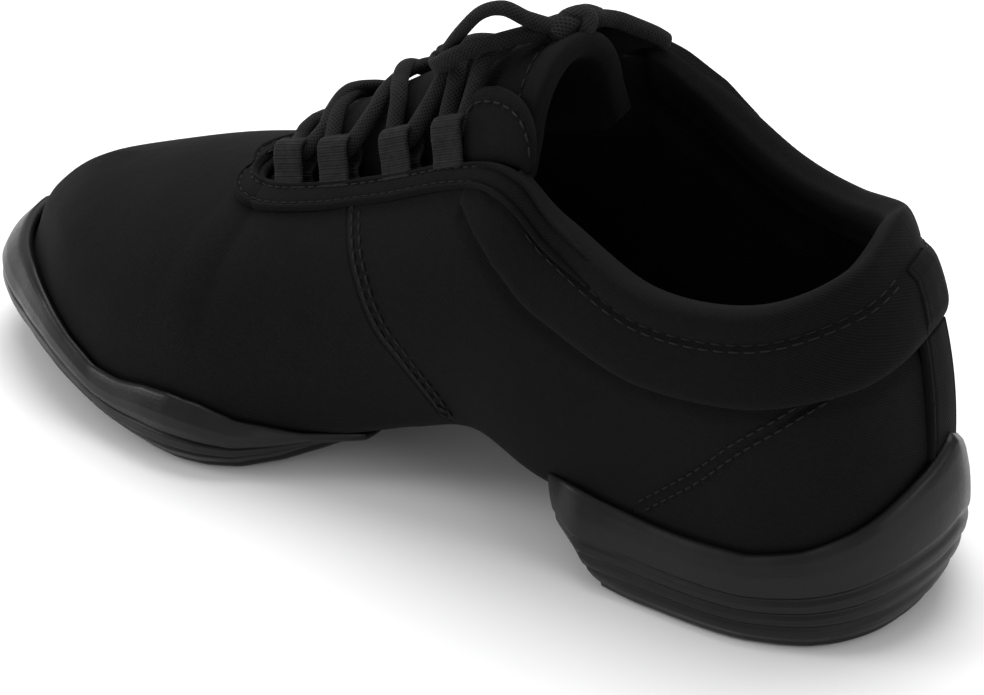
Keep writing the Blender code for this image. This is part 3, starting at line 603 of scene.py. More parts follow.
def signed_distance(points, facing, line):
    """How far each point lies from a line on the surface, positive on the left of its run."""
    flat, faces = points.reshape(-1, 3), facing.reshape(-1, 3)
    heading = unit(np.gradient(line, axis=0))
    result = np.empty(len(flat))
    for start in range(0, len(flat), CHUNK):
        part = slice(start, start + CHUNK)
        gaps = flat[part, None, :] - line[None]
        nearest = (gaps**2).sum(-1).argmin(1)
        rows = np.arange(len(nearest))
        gap = gaps[rows, nearest]
        along = (gap * heading[nearest]).sum(-1, keepdims=True)
        inner = (nearest > 0) & (nearest < len(line) - 1)
        side = np.cross(faces[part], heading[nearest])
        sign = np.sign((gap * side).sum(-1))
        straight = np.linalg.norm(gap - np.where(inner[:, None], along, 0) * heading[nearest], axis=-1)
        result[part] = sign * straight
    return result.reshape(points.shape[:2])


# The upper

WRINKLE, FINE_WRINKLE, TOE_FULLNESS, SEAM_DIP = 0.00030, 0.0001, 0.0017, 0.0009
INSOLE, WALL_SHARE = 0.0012, 0.9
FAR_OFF = 0.05
ARCH_ROWS = (3.5, 7.5)


def wrap_rows(step):
    """Section places all round the shoe, once."""
    count = int(round(2 * TIP_ROW / step))
    return np.linspace(-TIP_ROW, TIP_ROW, count, endpoint=False)


def wall_top(u):
    return np.interp(np.abs(u), (5.0, 5.5), (WALL_TOP, 1))


def seam_line(table, side):
    """A seam's (u, v) on one side of the shoe."""
    return smooth_line(np.array(table) * (side, 1), 260)


def make_upper():
    places = wrap_rows(0.06)
    levels = np.concatenate([np.linspace(-1, 0, 12, endpoint=False), np.linspace(0, 1, 46)])
    u, share = np.meshgrid(places, levels, indexing="ij")
    v = np.where(share > 0, share * wall_top(u), share)
    facing = normals(u, v)
    flat = wall_points(u, v)
    seams = {}
    for name, seam in (("vamp_seam", VAMP_SEAM), ("counter_seam", COUNTER_SEAM)):
        big, small = (
            side * signed_distance(flat, facing, last(*seam_line(seam, side).T)) for side in (1, -1)
        )
        seams[name] = np.where(u > 0, big, np.where(u < 0, small, FAR_OFF))
    x, y, z = (flat[..., k] for k in range(3))
    swell = WRINKLE * np.sin(61 * x + 80 * z) * np.sin(90 * z + 40 * x + 1)
    swell += FINE_WRINKLE * np.sin(170 * x - 120 * z + 50 * y)
    swell *= np.clip(v, 0, 0.3) / 0.3
    toe = np.clip((np.abs(u) - 11.0) / 2, 0, 1) * np.clip((v - 0.2) / 0.28, 0, 1)
    swell += TOE_FULLNESS * toe * toe * (3 - 2 * toe)
    below_seam = (v - table_at(COLLAR_SEAM, u) + 0.01) / 0.035
    swell -= SEAM_DIP * np.exp(-(below_seam**2)) * (np.abs(u) < PAD_FRONT)
    points = flat + swell[..., None] * facing
    mesh = grid_mesh("upper_cloth", points, wrap=(True, False), attributes=seams)
    bm = opened(mesh)
    verts = np.array(bm.verts).reshape(u.shape)
    rungs = []
    for k, place in enumerate(places):
        if ARCH_ROWS[0] <= place <= ARCH_ROWS[1]:
            mirror = np.argmin(np.abs(places + place))
            inner = [bm.verts.new(arch(place, side)) for side in np.linspace(-1, 1, 13)[1:-1]]
            rungs.append([verts[mirror, 0], *inner, verts[k, 0]])
    fill(bm, rungs)
    bmesh.ops.remove_doubles(bm, verts=bm.verts, dist=1e-6)
    piece = dress("upper_cloth", close(bm, mesh), [CLOTH, LINING], ["upper"])
    solid = piece.modifiers.new("wall", "SOLIDIFY")
    solid.thickness, solid.offset = WALL_SHARE * WALL, -1.0
    solid.use_even_offset, solid.material_offset = True, 1


def make_insole():
    places = wrap_rows(0.1)
    clear = -(WALL + 2 * GAP)
    rings = [last(places, v, clear) for v in (0, -0.2, -0.5, -0.9)]
    rings += [rings[-1] * (1, share, 1) for share in (0.8, 0.6, 0.4, 0.2, 0.02)]
    mesh = grid_mesh("insole_lining", np.array(rings).transpose(1, 0, 2), wrap=(True, False))
    piece = dress("insole_lining", outward_facing(mesh), [LINING], ["insole"])
    solid = piece.modifiers.new("thick", "SOLIDIFY")
    solid.thickness, solid.offset = INSOLE, 0.0


# The rubber soles

SOLE_GAP = 1.5 * GAP
RIM_FALL, LIP_RISE = 0.3, 0.35  # of the rim's thickness


def sole_levels(rim):
    levels = (-1, -0.5, -0.2, 0, min(0.14, rim / 2), rim)
    return [min(level, rim - 0.03 * (5 - k)) for k, level in enumerate(levels)]


def side_profile(side_rows):
    """Shares down the side and how far each stands out, dense enough for the grooves."""
    rows = np.array(side_rows)
    down = np.linspace(0, 1, 75)
    out = np.interp(down, rows[:, 0], rows[:, 1])
    soft = np.convolve(np.pad(out, 1, mode="edge"), (0.25, 0.5, 0.25), mode="valid")
    return down, soft


def sole_station(inside, away, edge, side_rows, swell, rim_wall, bow, belly, low=1.0):
    rim = inside[-1] + rim_wall * away - RIM_FALL * rim_wall * UP
    lip = (inside[-1] + rim) / 2 + LIP_RISE * rim_wall * UP
    drop = edge - rim
    down, out = side_profile(side_rows)
    side = [
        rim
        + drop * (share**bow, share, share)
        + (o * RIB * swell + belly * BALL * sin(pi * share**low)) * away
        for share, o in zip(down[1:-1], out[1:-1])
    ]
    turn = [
        edge - TREAD_EDGE * ((1 - cos(t)) * 1.3 * away + sin(t) * UP)
        for t in np.linspace(0, pi / 2, 6)
    ]
    return [*inside, lip, rim, *side, *turn]


def make_sole(name, node, table, side_rows, end, run, end_depth):
    rows = np.array(table) / (1, 1000, 1000, 1000, 1000, 1, 1000)
    tip = float(TIP_ROW) if run > 0 else 0.0
    stop = np.arange(tip - run * 0.5, end + 0.25 * run, -run * 0.5)[-1]
    walls = np.linspace(tip, stop, int(abs(tip - stop) / 0.08) + 1)[1:]

    def wall_station(u):
        rim, out, floor, under, wall, belly = (
            np.interp(abs(u), rows[:, 0], rows[:, k]) for k in range(1, 7)
        )
        if u < -FAR_RIM[0][0]:
            rim = table_at(FAR_RIM, u)
        foot = last(u, 0)
        away = outward(foot)
        edge = foot + out * BALL * away
        edge[0] += run * under * LENGTH
        edge[2] = floor * TALL + TREAD_EDGE
        bow = np.interp(under, (0, BOW_UNDER), (1, END_BOW))
        inside = [last(u, level, SOLE_GAP) for level in sole_levels(rim)]
        fade = np.interp(abs(u - end), (0.3, 2), (0.45, 1))
        return sole_station(inside, away, edge, side_rows, fade, wall * RUBBER, bow, belly)

    floor = rows[0 if run > 0 else -1, 3]
    forward = np.array([-run, 0, 0])
    end_rim = np.interp(end, rows[:, 0], rows[:, 1])

    def end_station(side, rim, lag, turn, swell):
        start = end + lag * (walls[-1] - end)
        inside = []
        for k, level in enumerate(sole_levels(rim)):
            u = start + k / 5 * (end - start)
            if abs(side) < 1:
                inside.append(arch(u, side) - SOLE_GAP * UP)
            else:
                inside.append(last(copysign(u, side), level, END_GAP))
        corner = abs(side) == 1
        away = unit(forward + turn * np.sign(side) * np.array([0, 1, 0]))
        edge = inside[-1] - end_depth * forward
        edge[1] -= corner * 0.2 * end_depth * side
        edge[2] = floor * TALL + TREAD_EDGE
        belly = END_BELLY if run < 0 else 0.0
        rim_wall = 0.25 * RUBBER
        return sole_station(inside, away, edge, side_rows, swell, rim_wall, END_BOW, belly, 2.2)

    corners = [
        (end_rim + (-1 - end_rim) * s, 0.5 - 0.5 * s, (1 - s) * (1 + end_rim), 0.15 + 0.25 * (1 - s))
        for s in (0, 0.2, 0.4, 0.6, 0.8)
    ]
    near, far = ([end_station(side, *corner) for corner in corners] for side in (1, -1))
    across = [end_station(side, 0, 0, 0, 0.25) for side in np.linspace(0.92, -0.92, 21)]
    stations = [wall_station(tip), *(wall_station(u) for u in walls), *near, *across, *far[::-1]]
    stations += [wall_station(-u) for u in walls[::-1]]
    grid = np.array(stations)
    mesh = grid_mesh(name, grid, wrap=(True, False))
    bm = opened(mesh)
    verts = np.array(bm.verts).reshape(grid.shape[:2])
    half = len(walls)
    middle = len(stations) - 2 * half - 1
    ring = list(verts[:, -1])
    lines = []
    for k in range(1, half + 1):
        first, second = ring[k], ring[-k]
        inner = [bm.verts.new(first.co.lerp(second.co, (j + 1) / (middle + 1))) for j in range(middle)]
        lines.append([first, *inner, second])
    lines.append(ring[half : half + middle + 2])
    fan = [bm.faces.new((ring[0], lines[0][j], lines[0][j + 1])) for j in range(middle + 1)]
    fill(bm, lines, fan)
    dress(name, close(bm, mesh), [RUBBER_LOOK], [node])


# The padded collar, the eyestay and the strip over the back seam


#   share of the way from the collar's seam to its edge, share of the pad's thickness
PAD_OUTER = (
    (0, -0.2), (0.012, 0.32), (0.05, 0.74), (0.14, 1.06), (0.34, 1.14), (0.52, 1.02), (0.62, 0.82),
    (0.665, 0.55), (0.71, 0.8), (0.8, 1), (0.9, 1),
)
PAD_FRONT, PAD_TOP = 5.72, 0.985
#   row, share of the pad's thickness
PAD_EASE = ((0, 1), (3.6, 1), (4.4, 0.78), (5.0, 0.52), (5.72, 0.20))


def pad_profile(u):
    """The outer rows at u, thinner over the heel's back, in metres off the upper."""
    rows = np.array(PAD_OUTER)
    roll = np.interp(abs(u), (0.5, 1.7), (0.30, 1))
    body = np.interp(abs(u), (0.3, 1.3), (0.80, 1))
    thin = np.where(rows[:, 0] > 0.6, roll, body)
    return np.stack([rows[:, 0], rows[:, 1] * thin * COLLAR_PAD * table_at(PAD_EASE, u)], -1)


def pad_height(u, v):
    """How far the collar's outer face stands off the upper."""
    rows = pad_profile(u)
    seam = table_at(COLLAR_SEAM, u)
    return np.interp((v - seam) / (1 - seam), rows[:, 0], rows[:, 1])


def ease_in(value, start, end):
    share = min(max((value - start) / (end - start), 0), 1)
    return share * share * (3 - 2 * share)


def make_collar():
    inside = WALL + GAP
    rings = []
    for u in np.linspace(-PAD_FRONT, PAD_FRONT, 190):
        seam = table_at(COLLAR_SEAM, u)
        profile = pad_profile(u)
        edge = 0.7 * profile[-1, 1]
        deep = COLLAR_INSIDE * np.interp(abs(u), (3.5, 4.8), (1, 0.35))
        over = [(seam + s * (1 - seam), GAP + out) for s, out in profile]
        over += [
            (PAD_TOP, GAP + edge), (1, 0.1 * WALL), (0.995, -inside),
            (PAD_TOP, -inside - 0.6 * deep), (0.93, -inside - deep), (0.87, -inside - 0.55 * deep),
            (0.845, -inside - 0.8 * deep), (0.80, -inside - 0.3 * deep), (0.78, -inside + 0.4 * WALL),
        ]
        top = PAD_TOP * wall_top(u)
        beside = [(seam + s * (top - seam), GAP + out) for s, out in profile]
        beside += [(top + (seam - top) * k / 9, -0.4 * WALL) for k in range(9)]
        share = ease_in(abs(u), 4.85, 5.2)
        rows = (1 - share) * np.array(over) + share * np.array(beside)
        rings.append(smooth_line([last(u, v, out) for v, out in rows], 64))
    mesh = ring_mesh("collar_pad", rings)
    dress("collar_pad", mesh, [SHADED_PADDED_CLOTH], ["collar"])


THROAT_TURN = (
    ((9.75, 0.985), (9.85, 0.875)), ((9.92, 0.99), (10.06, 0.905)), ((10, 0.995), (10.2, 0.95)),
)
THROAT_FRONT = ((10.03, 1), (10.26, 1))
BAND_END, BAND_TOP = 4.95, 0.985
#   row, share of the band's height
BAND_RISE = ((3.5, 1.35), (3.9, 1.95), (4.4, 2.0), (4.8, 1.85), (5.4, 1.35), (5.9, 1))
BAND_RUN_ON = (
    (3.5, 0.985, 3.5, 0.875), (3.9, 0.99, 3.9, 0.875), (4.3, 0.992, 4.3, 0.878), (4.7, 0.99, 4.7, 0.88),
)


def band_path():
    """The eyestay's inner and outer edge once round the throat, as rows (u, v, u, v)."""
    places = [BAND_END, *np.arange(5.5, THROAT_ROW + 0.6, 0.5)]
    half = [((u, BAND_TOP), (u, table_at(BAND_EDGE, u))) for u in places]
    half = [*BAND_RUN_ON, *((*inner, *outer) for inner, outer in (*half, *THROAT_TURN))]
    front = (*THROAT_FRONT[0], *THROAT_FRONT[1])
    return half, front


def make_eyestay():
    half, front = band_path()
    near = smooth_line([*half, front], 280)
    profile = (
        (0, 0), (0.01, 0.7), (0.05, 1.25), (0.12, 1.3), (0.18, 0.8), (0.28, 0.95), (0.5, 1),
        (0.7, 0.95), (0.78, 0.75), (0.84, 1.25), (0.93, 1.35), (0.985, 0.9), (1, 0), (0.5, -0.1),
    )
    rings = []
    for side in (1, -1):
        part = []
        for u_in, v_in, u_out, v_out in near:
            ring = []
            for across, height in profile:
                u = u_in + across * (u_out - u_in)
                v = v_in + across * (v_out - v_in)
                lift = table_at(BAND_RISE, u)
                ring.append(last(side * u, v, GAP + height * lift * BAND))
            part.append(smooth_line(ring, 40, closed=True)[:-1])
        rings += part if side == 1 else part[::-1][1:]
    dress("eyestay_band", ring_mesh("eyestay_band", rings), [SHADED_PADDED_CLOTH], ["eyestay"])


def make_back_strip():
    width, bottom, top = 0.27, 0.20, 0.875
    profile = ((-1, -0.3), (-0.99, 0.6), (-0.90, 1), (-0.78, 0.75), (-0.66, 0.95), (0, 1))
    profile += tuple((-a, h) for a, h in profile[-2::-1])
    rings = []
    for v in np.linspace(bottom, top, 90):
        seam = table_at(COLLAR_SEAM, 0)
        thin = 1.0 if v < seam else 0.35
        lift = pad_height(0, v) if v > seam else 0.0
        ring = [last(width * a, v, GAP + lift + thin * h * BAND) for a, h in profile]
        rings.append(smooth_line(ring, 48))
    mesh = grid_mesh("back_strip_cloth", np.array(rings))
    dress("back_strip_cloth", mesh, [SHADED_PADDED_CLOTH], ["back_strip"])


# The tongue, the tabs and the webbing loops


def tongue_point(place, angle, out=0.0):
    x, y, z, half, drop, tilt = smooth_row(TONGUE, place, closed=False)
    lean = np.array([cos(radians(tilt)), 0, sin(radians(tilt))])
    middle = np.array([x * LENGTH - HEEL_CENTRE, y * BALL, z * TALL])
    turn = radians(angle)
    side = sin(turn) * (half * BALL + out)
    sink = drop * BALL - cos(turn) * (drop * BALL + out)
    return middle + np.array([0, side, 0.0]) - sink * lean


def tongue_place(x):
    xs = [row[0] * LENGTH - HEEL_CENTRE for row in TONGUE]
    return np.interp(-x, [-value for value in xs], range(len(xs)))


def make_tongue():
    spread = np.linspace(-TONGUE_SPREAD, TONGUE_SPREAD, 45)
    top_place = len(TONGUE) - 1
    rings = []
    last_rows = 0.3 * (1 - np.sin(np.linspace(0, pi / 2, 9)[1:]))
    for place in (*np.linspace(0, top_place - 0.3, 60), *(top_place - last_rows)):
        thick = TONGUE_FRONT + (TONGUE_TOP - TONGUE_FRONT) * place / top_place
        from_top = (top_place - place) * TONGUE_STEP
        groove = 0.0006 * exp(-(((from_top - TONGUE_STITCH) / 0.0012) ** 2))
        rim = 0.0004 * exp(-(((from_top - 0.0042) / 0.0030) ** 2))
        share = max(0, 1 - from_top / TONGUE_ROUND)
        closing = 0.5 * thick * (1 - sqrt(max(1 - share**2, 0.02)))
        upper_out = rim - groove - closing
        under_out = -thick + closing
        trim = 1 - 0.55 * max(0, 1 - from_top / TONGUE_CORNER) ** 2
        wide, deep = trim * BALL * np.array(TONGUE_WING)
        small, big = np.array([0, -wide, -deep]), np.array([0, wide, -deep])
        top = [tongue_point(place, angle, upper_out) for angle in spread]
        under = [tongue_point(place, angle, under_out) for angle in spread[::-1]]
        rings.append([top[0] + small, *top, top[-1] + big, under[0] + big, *under, under[-1] + small])
    mesh = ring_mesh("tongue_pad", rings)
    dress("tongue_pad", mesh, [SHADED_PADDED_CLOTH], ["tongue"])


def crown_frame(u):
    side = copysign(1, u)
    along = unit(last(abs(u) + 0.2, 1) - last(abs(u) - 0.2, 1)) * (1, side, 1)
    rise = unit(np.array([0, -side * sin(STRAP_LEAN), cos(STRAP_LEAN)]))
    rise = unit(rise - along * rise.dot(along))
    outside = np.cross(rise, along) * side
    return last(u, 1), along, rise, outside


def loop_hole(row, side):
    point, _, rise, _ = crown_frame(row * side)
    return point + LOOP_HOLE * LOOP_HEIGHT * rise


def make_loop(index, side):
    """A strap of ribbed webbing folded round the lace."""
    point, along, rise, outside = crown_frame(side * LOOP_ROWS[index])
    middle = LOOP_HOLE * LOOP_HEIGHT
    wide = 0.0024
    tall = 0.9 * LOOP_HEIGHT - middle
    turns = np.linspace(-pi / 2, pi / 2, 9)
    line = [(-0.0016, 0.0021), (0, 0.0021), (0.35 * middle, 0.0021), (0.7 * middle, wide)]
    line += [(middle + tall * cos(t), -wide * sin(t)) for t in turns]
    line += [(0.65 * middle, -wide * 0.9), (0.3 * middle, -0.0008), (0, -0.0010), (-0.0016, -0.0012)]
    path = smooth_line([(*p, 0) for p in line], 150)[:, :2]
    run = run_along(path)
    normal = unit(np.stack([-np.gradient(path[:, 1]), np.gradient(path[:, 0])], -1))
    rib = 0.00016 * np.abs(np.sin(pi * run / 0.00095)) - 0.00006
    section = [(-1, 0), (-0.97, 0.7), (-0.85, 1), (-0.4, 1), (0, 1), (0.4, 1), (0.85, 1),
               (0.97, 0.7), (1, 0), (0.97, -0.7), (0.85, -1), (0, -1), (-0.85, -1), (-0.97, -0.7)]
    rings = []
    for (up, out), (n_up, n_out), ridge in zip(path, normal, rib):
        ring = []
        for across, face in section:
            thick = face * (0.5 * WEBBING * 0.9 + ridge)
            place = point + 0.5 * LOOP_WIDTH * across * along
            ring.append(place + (up + thick * n_up) * rise + (out + thick * n_out) * outside)
        rings.append(ring)
    end = f"{SIDE_NAMES[side]}_{index + 1}"
    mesh = ring_mesh(f"webbing_{end}", rings)
    dress(f"webbing_{end}", mesh, [WEBBING_LOOK], [f"loop_{end}"])


def tab_point(side, frame, share, out):
    """A place on the tab, share of its height up and out metres off its middle plane."""
    point, _, rise, outside = frame
    tall = share * TAB_HEIGHT
    return point + (GAP + tall) * rise - (TAB_LEAN[side] * tall - out) * outside


def make_tab(side):
    rings = []
    for u, height in smooth_line(TAB_OUTLINE, 44):
        frame = crown_frame(side * u)
        thick = TAB * min(1, 0.4 + height)
        ring = []
        for turn in np.linspace(0, 2 * pi, 28, endpoint=False):
            share = 0.46 - 0.54 * copysign(abs(cos(turn)) ** 0.55, cos(turn))
            out = 0.5 + 0.5 * copysign(abs(sin(turn)) ** 0.6, sin(turn))
            pinch = 0.25 * exp(-(((share - TAB_STITCH) / 0.05) ** 2))
            out = 0.5 + (out - 0.5) * (1 - pinch)
            ring.append(tab_point(side, frame, share * height, (out - TAB_INSET) * thick))
        rings.append(ring)
    name = f"tab_pad_{SIDE_NAMES[side]}"
    dress(
        name, ring_mesh(name, rings), [SHADED_PADDED_CLOTH], [f"tab_{SIDE_NAMES[side]}"]
    )


# The lace


def make_lace(name, path, facing, nodes, wide=LACE_WIDE, thick=LACE_THICK):
    """A flattened braid along a path, its wide side turned by the facing directions."""
    path = np.array(path)
    heading = unit(np.gradient(path, axis=0))
    facing = unit(facing - (facing * heading).sum(-1, keepdims=True) * heading)
    across = np.cross(heading, facing)
    turns = np.linspace(0, 2 * pi, 16, endpoint=False)
    rings = [
        [middle + 0.5 * wide * cos(t) * aside + 0.5 * thick * sin(t) * out for t in turns]
        for middle, aside, out in zip(path, across, facing)
    ]
    run = run_along(path)
    round_about = np.linspace(0, BRAID_ROUND, len(turns), endpoint=False)
    uv = np.stack(np.meshgrid(run, round_about, indexing="ij"), -1)
    return dress(name, ring_mesh(name, rings, uv), [BRAID], nodes)


def tongue_facing(points):
    """The direction away from the tongue at each point of a path."""
    result = []
    for x, y, _ in points:
        place = tongue_place(x)
        half = smooth_row(TONGUE, place, closed=False)[3] * BALL
        angle = degrees(asin(max(min(y / (half + 0.003), 0.95), -0.95)))
        result.append(tongue_point(place, angle, 0.01) - tongue_point(place, angle))
    return unit(np.array(result))


def half_lace(side):
    """The points of one half of the lace, from the middle of the bar through the loops to the last one, and
    the side it ends on.
    """
    xs = [loop_hole(row, 1)[0] for row in LOOP_ROWS]
    clear = 0.5 * LOOP_WIDTH
    points = []
    x = xs[0] + 0.8 * clear
    for angle in (0, 18, 36):
        points.append(tongue_point(tongue_place(x), side * angle, LACE_THICK / 2 + 0.0004))
    for k in range(4):
        hole = loop_hole(LOOP_ROWS[k], side)
        along = crown_frame(side * LOOP_ROWS[k])[1]
        points += [hole + 0.55 * clear * along, hole - 0.55 * clear * along]
        if k == 3:
            break
        front, rear = xs[k] - 1.1 * clear, xs[k + 1] + 1.1 * clear
        over = 0.0012 if (side > 0) == (k % 2 == 0) else 0.0
        for share, angle in ((0.08, 44), (0.25, 24), (0.5, 0), (0.75, -24), (0.92, -44)):
            hump = over * exp(-(((share - 0.5) / 0.22) ** 2))
            place = tongue_place(front + share * (rear - front))
            points.append(tongue_point(place, side * angle, LACE_THICK / 2 + 0.0005 + hump))
        side = -side
    return points, side


KNOT = np.array((0.0530, -0.0035, 0.1110))
KNOT_STRAND = (
    (0.002, 0.0066, -0.001), (0.001, 0.003, 0.0008), (0, -0.003, 0.0008), (-0.001, -0.0062, -0.0008),
)
KNOT_WRAP, KNOT_CORE = (0.0050, 0.0026), (0.0062, 0.0046)  # width and thickness
# The last runs and the bow's loops, in tenths of a millimetre.
LAST_RUN = {
    1: ((672, 110, 1040), (655, 70, 1062), (635, 35, 1082), (590, -5, 1106)),
    -1: ((672, -105, 1022), (655, -80, 1046), (635, -60, 1068), (585, -50, 1098)),
}
BOW_NEAR = (
    (555, 20, 1118), (586, 64, 1146), (628, 90, 1171), (680, 100, 1152), (730, 105, 1098),
    (775, 100, 1040), (800, 88, 1018), (796, 110, 1010), (770, 132, 1022), (730, 136, 1052),
    (680, 118, 1080), (620, 80, 1100), (565, 25, 1110),
)
BOW_FAR = (
    (527, -90, 1104), (505, -145, 1082), (480, -190, 1052), (458, -225, 1026), (450, -250, 1004),
    (472, -262, 1000), (520, -240, 1020), (556, -195, 1046), (562, -120, 1084),
)


def make_lacing():
    ends = {}
    for start, node in ((1, "near"), (-1, "far")):
        points, side = half_lace(start)
        points += [np.array(p) / 10000 for p in LAST_RUN[side]]
        path = smooth_line(points, 330)
        facing = tongue_facing(path)
        cut = np.linalg.norm(path - loop_hole(LOOP_ROWS[3], side), axis=1).argmin()
        nodes = ["lace_bar", "lace_cross_1"] if start > 0 else ["lace_cross_2", "lace_cross_3"]
        make_lace(f"lace_from_{node}", path[: cut + 2], facing[: cut + 2], nodes)
        end = "near" if side > 0 else "far"
        ends[end] = make_lace(
            f"lace_end_{end}", path[cut - 1 :], facing[cut - 1 :], [f"lace_run_{end}"]
        )
    return ends


def make_bow(ends):
    turns = np.linspace(0, 2 * pi, 40)
    wrap = KNOT + np.stack(
        [0.0030 * np.cos(turns), 0.0012 * np.sin(2 * turns), 0.0026 * np.sin(turns)], -1
    )
    outer = np.stack([np.cos(turns), 0 * turns, np.sin(turns)], -1)
    knot = make_lace("lace_knot_wrap", wrap, outer, ["lace_knot"], *KNOT_WRAP)
    core = smooth_line(KNOT + np.array(KNOT_STRAND), 30)
    core = make_lace("lace_knot_core", core, np.tile(UP, (30, 1)), (), *KNOT_CORE)
    for name, points in (("near", BOW_NEAR), ("far", BOW_FAR)):
        path = smooth_line(np.array(points) / 10000, 110)
        outer = unit(path - path.mean(0))
        piece = make_lace(f"bow_{name}", path, outer, [f"bow_loop_{name}"], BOW_WIDE, BOW_THICK)


# Stitches

#   pitch, thickness of the thread
VAMP_STITCH, COUNTER_STITCH, COLLAR_STITCH = (0.0030, 0.00055), (0.0028, 0.00055), (0.0034, 0.00055)
BAND_STITCH, TAB_THREAD, TONGUE_THREAD = (0.0028, 0.0005), (0.0030, 0.0005), (0.0034, 0.0006)
STITCH_LENGTH = 0.74  # of the pitch
#   seam, distance off the wall, shifts to its side, stitch
SEAM_STITCHES = (
    (VAMP_SEAM[:-2], 0.0003, (0.0013, 0.0034), VAMP_STITCH),
    (COUNTER_SEAM, 0.0001, (0.0009, -0.0014), COUNTER_STITCH),
)


def stitch_rows(rows, name):
    """One mesh of short raised stitches along lines of points, each row with its facings."""
    bm = bmesh.new()
    circle = [(cos(t), sin(t)) for t in np.linspace(0, 2 * pi, 6, endpoint=False)]
    for path, facing, (pitch, size) in rows:
        run = run_along(path)
        for mark in np.arange(0.5 * pitch, run[-1] - 0.5 * pitch, pitch):
            place = at_run(path, run, mark)
            heading = unit(at_run(path, run, mark + 0.0004) - place)
            normal = unit(at_run(facing, run, mark))
            across = np.cross(heading, normal)
            rings = []
            for share, thick in ((-0.5, 0.35), (-0.38, 0.85), (0, 1), (0.38, 0.85), (0.5, 0.35)):
                middle = place + share * STITCH_LENGTH * pitch * heading
                middle = middle + size * (0.35 * thick - 0.1) * normal
                radius = 0.5 * size * thick
                rings.append([bm.verts.new(middle + radius * (c * across + s * normal)) for c, s in circle])
            for first, second in zip(rings, rings[1:]):
                for j in range(6):
                    bm.faces.new((first[j], first[(j + 1) % 6], second[(j + 1) % 6], second[j]))
            bm.faces.new(rings[0][::-1])
            bm.faces.new(rings[-1])
    dress(name, close(bm, bpy.data.meshes.new(name)), [THREAD])


def line_on_wall(path, out, shift=0.0):
    """A line of (u, v) on the wall, shifted sideways by metres, with its facings."""
    points = last(path[:, 0], path[:, 1], out)
    facing = normals(path[:, 0], path[:, 1])
    heading = unit(np.gradient(points, axis=0))
    return points + shift * np.cross(facing, heading), facing


def make_stitches():
    rows = []
    for side in (1, -1):
        for seam, out, shifts, stitch in SEAM_STITCHES:
            path = seam_line(seam, side)
            rows += [(*line_on_wall(path, out, side * shift), stitch) for shift in shifts]
        u = np.linspace(0.45, 4.6, 200) * side
        seam = table_at(COLLAR_SEAM, u)
        path = np.stack([u, seam + 0.665 * (1 - seam)], -1)
        for shift in (0, 0.022):
            path[:, 1] -= shift
            lift = np.array([pad_height(place, level) for place, level in path])
            rows.append((*line_on_wall(path, GAP + lift - 0.0001), COLLAR_STITCH))
        half, front = band_path()
        near = smooth_line([*half, front], 220)
        for across, height in ((0.20, 0.85), (0.76, 0.80)):
            u = (near[:, 0] + across * (near[:, 2] - near[:, 0])) * side
            v = near[:, 1] + across * (near[:, 3] - near[:, 1])
            rows.append((*line_on_wall(np.stack([u, v], -1), GAP + height * BAND), BAND_STITCH))
        outline = smooth_line(TAB_OUTLINE, 120)[10:]
        frames = [crown_frame(side * u) for u, _ in outline]
        path = np.array([
            tab_point(side, frame, TAB_STITCH * height, 0.42 * TAB)
            for frame, (_, height) in zip(frames, outline)
        ])
        facing = np.array([frame[3] for frame in frames])
        rows.append((path, facing, TAB_THREAD))
    angles = np.linspace(-66, 66, 120)
    place = len(TONGUE) - 1 - TONGUE_STITCH / TONGUE_STEP
    path = np.array([tongue_point(place, angle, -0.0004) for angle in angles])
    facing = np.array([tongue_point(place, angle, 0.01) for angle in angles]) - path
    rows.append((path, unit(facing), TONGUE_THREAD))
    stitch_rows(rows, "stitching")


make_upper()
make_insole()
make_sole("front_rubber", "outsole_front", FRONT_SOLE, FRONT_SIDE, end=6.8, run=1, end_depth=0.006)
make_sole("heel_rubber", "outsole_heel", HEEL_SOLE, HEEL_SIDE, end=3.8, run=-1, end_depth=0.018)
make_collar()
make_eyestay()
make_back_strip()
make_tongue()
for loop_index in range(4):
    make_loop(loop_index, 1)
    make_loop(loop_index, -1)
make_tab(1)
make_tab(-1)
make_bow(make_lacing())
make_stitches()


# The camera, the light and the floor

AIM = np.array((0.05711, 0.02511, 0.045))
DISTANCE, AZIMUTH, ELEVATION, ROLL = 0.8138, 216.55, 29.72, -2.11
SENSOR, LENS = 36.0, 138.82
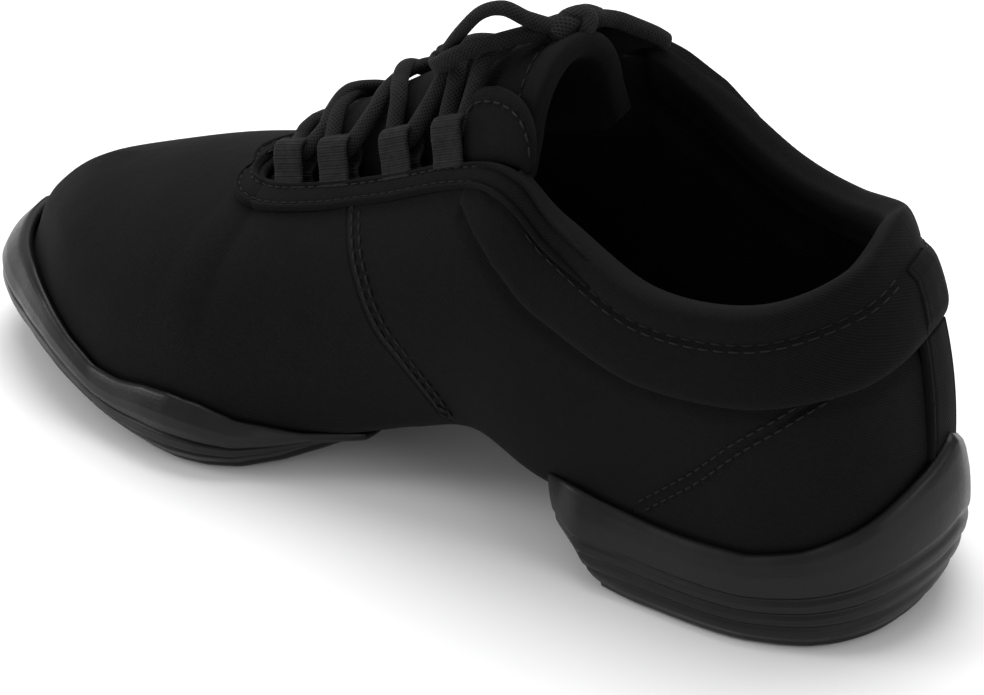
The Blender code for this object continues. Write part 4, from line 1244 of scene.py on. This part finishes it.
#   name, place, target, size in metres, watts
LIGHTS = (
    ("top", (0.25, -0.40, 1.2), (0.06, 0, 0.02), 1.2, 15),
    ("toe_side", (0.95, 0.55, 0.55), (0.15, 0, 0.02), 0.5, 3.5),
    ("heel_side", (-0.9, 0.25, 0.5), (-0.03, 0, 0.02), 0.5, 1.8),
)
SKY, FLOOR_HALF = 0.60, 3.0


def turn_to(made, right, up, back, place):
    """Turns an object to three axes and moves it to a place."""
    matrix = np.eye(4)
    matrix[:3] = np.stack([right, up, back, place], -1)
    made.matrix_world = Matrix(matrix.tolist())


def make_camera():
    azimuth, elevation, roll = (radians(a) for a in (AZIMUTH, ELEVATION, ROLL))
    back = np.array([
        sin(azimuth) * cos(elevation), -cos(azimuth) * cos(elevation),
        sin(elevation),
    ])
    right = np.array([cos(azimuth), sin(azimuth), 0.0])
    up = np.cross(back, right)
    x_axis = cos(roll) * right + sin(roll) * up
    y_axis = -sin(roll) * right + cos(roll) * up
    data = bpy.data.cameras.new("camera")
    data.sensor_width, data.lens = SENSOR, LENS
    data.clip_start, data.clip_end = 0.05, 20.0
    camera = put("camera", data)
    turn_to(camera, x_axis, y_axis, back, AIM + DISTANCE * back)
    bpy.context.scene.camera = camera


def area_light(name, place, target, size, power):
    data = bpy.data.lights.new(name, "AREA")
    data.shape, data.size, data.energy = "DISK", size, power
    back = unit(np.array(place, float) - target)
    right = unit(np.cross(UP + 1e-3, back))
    turn_to(put(name, data), right, np.cross(back, right), back, place)


def make_floor():
    s = Shader("pale_floor", 0.9, Specular_IOR_Level=0.1)
    s.colour(s.ramp(s.noise(s.place(), 3.0), 0.3, 0.7), (0.90, 0.90), (0.92, 0.92))
    mesh = bpy.data.meshes.new("floor")
    corners = [(x * FLOOR_HALF, y * FLOOR_HALF, 0) for x, y in ((-1, -1), (1, -1), (1, 1), (-1, 1))]
    mesh.from_pydata(corners, [], [(0, 1, 2, 3)])
    mesh.materials.append(s.material)
    put("floor", mesh)


make_camera()
make_floor()
for light in LIGHTS:
    area_light(*light)
world = bpy.data.worlds.new("studio")
world.use_nodes = True
sky = world.node_tree.nodes["Background"].inputs
sky[0].default_value = (1, 1, 1, 1)
sky[1].default_value = SKY
bpy.context.scene.world = world
bpy.context.scene.view_settings.view_transform = "Standard"
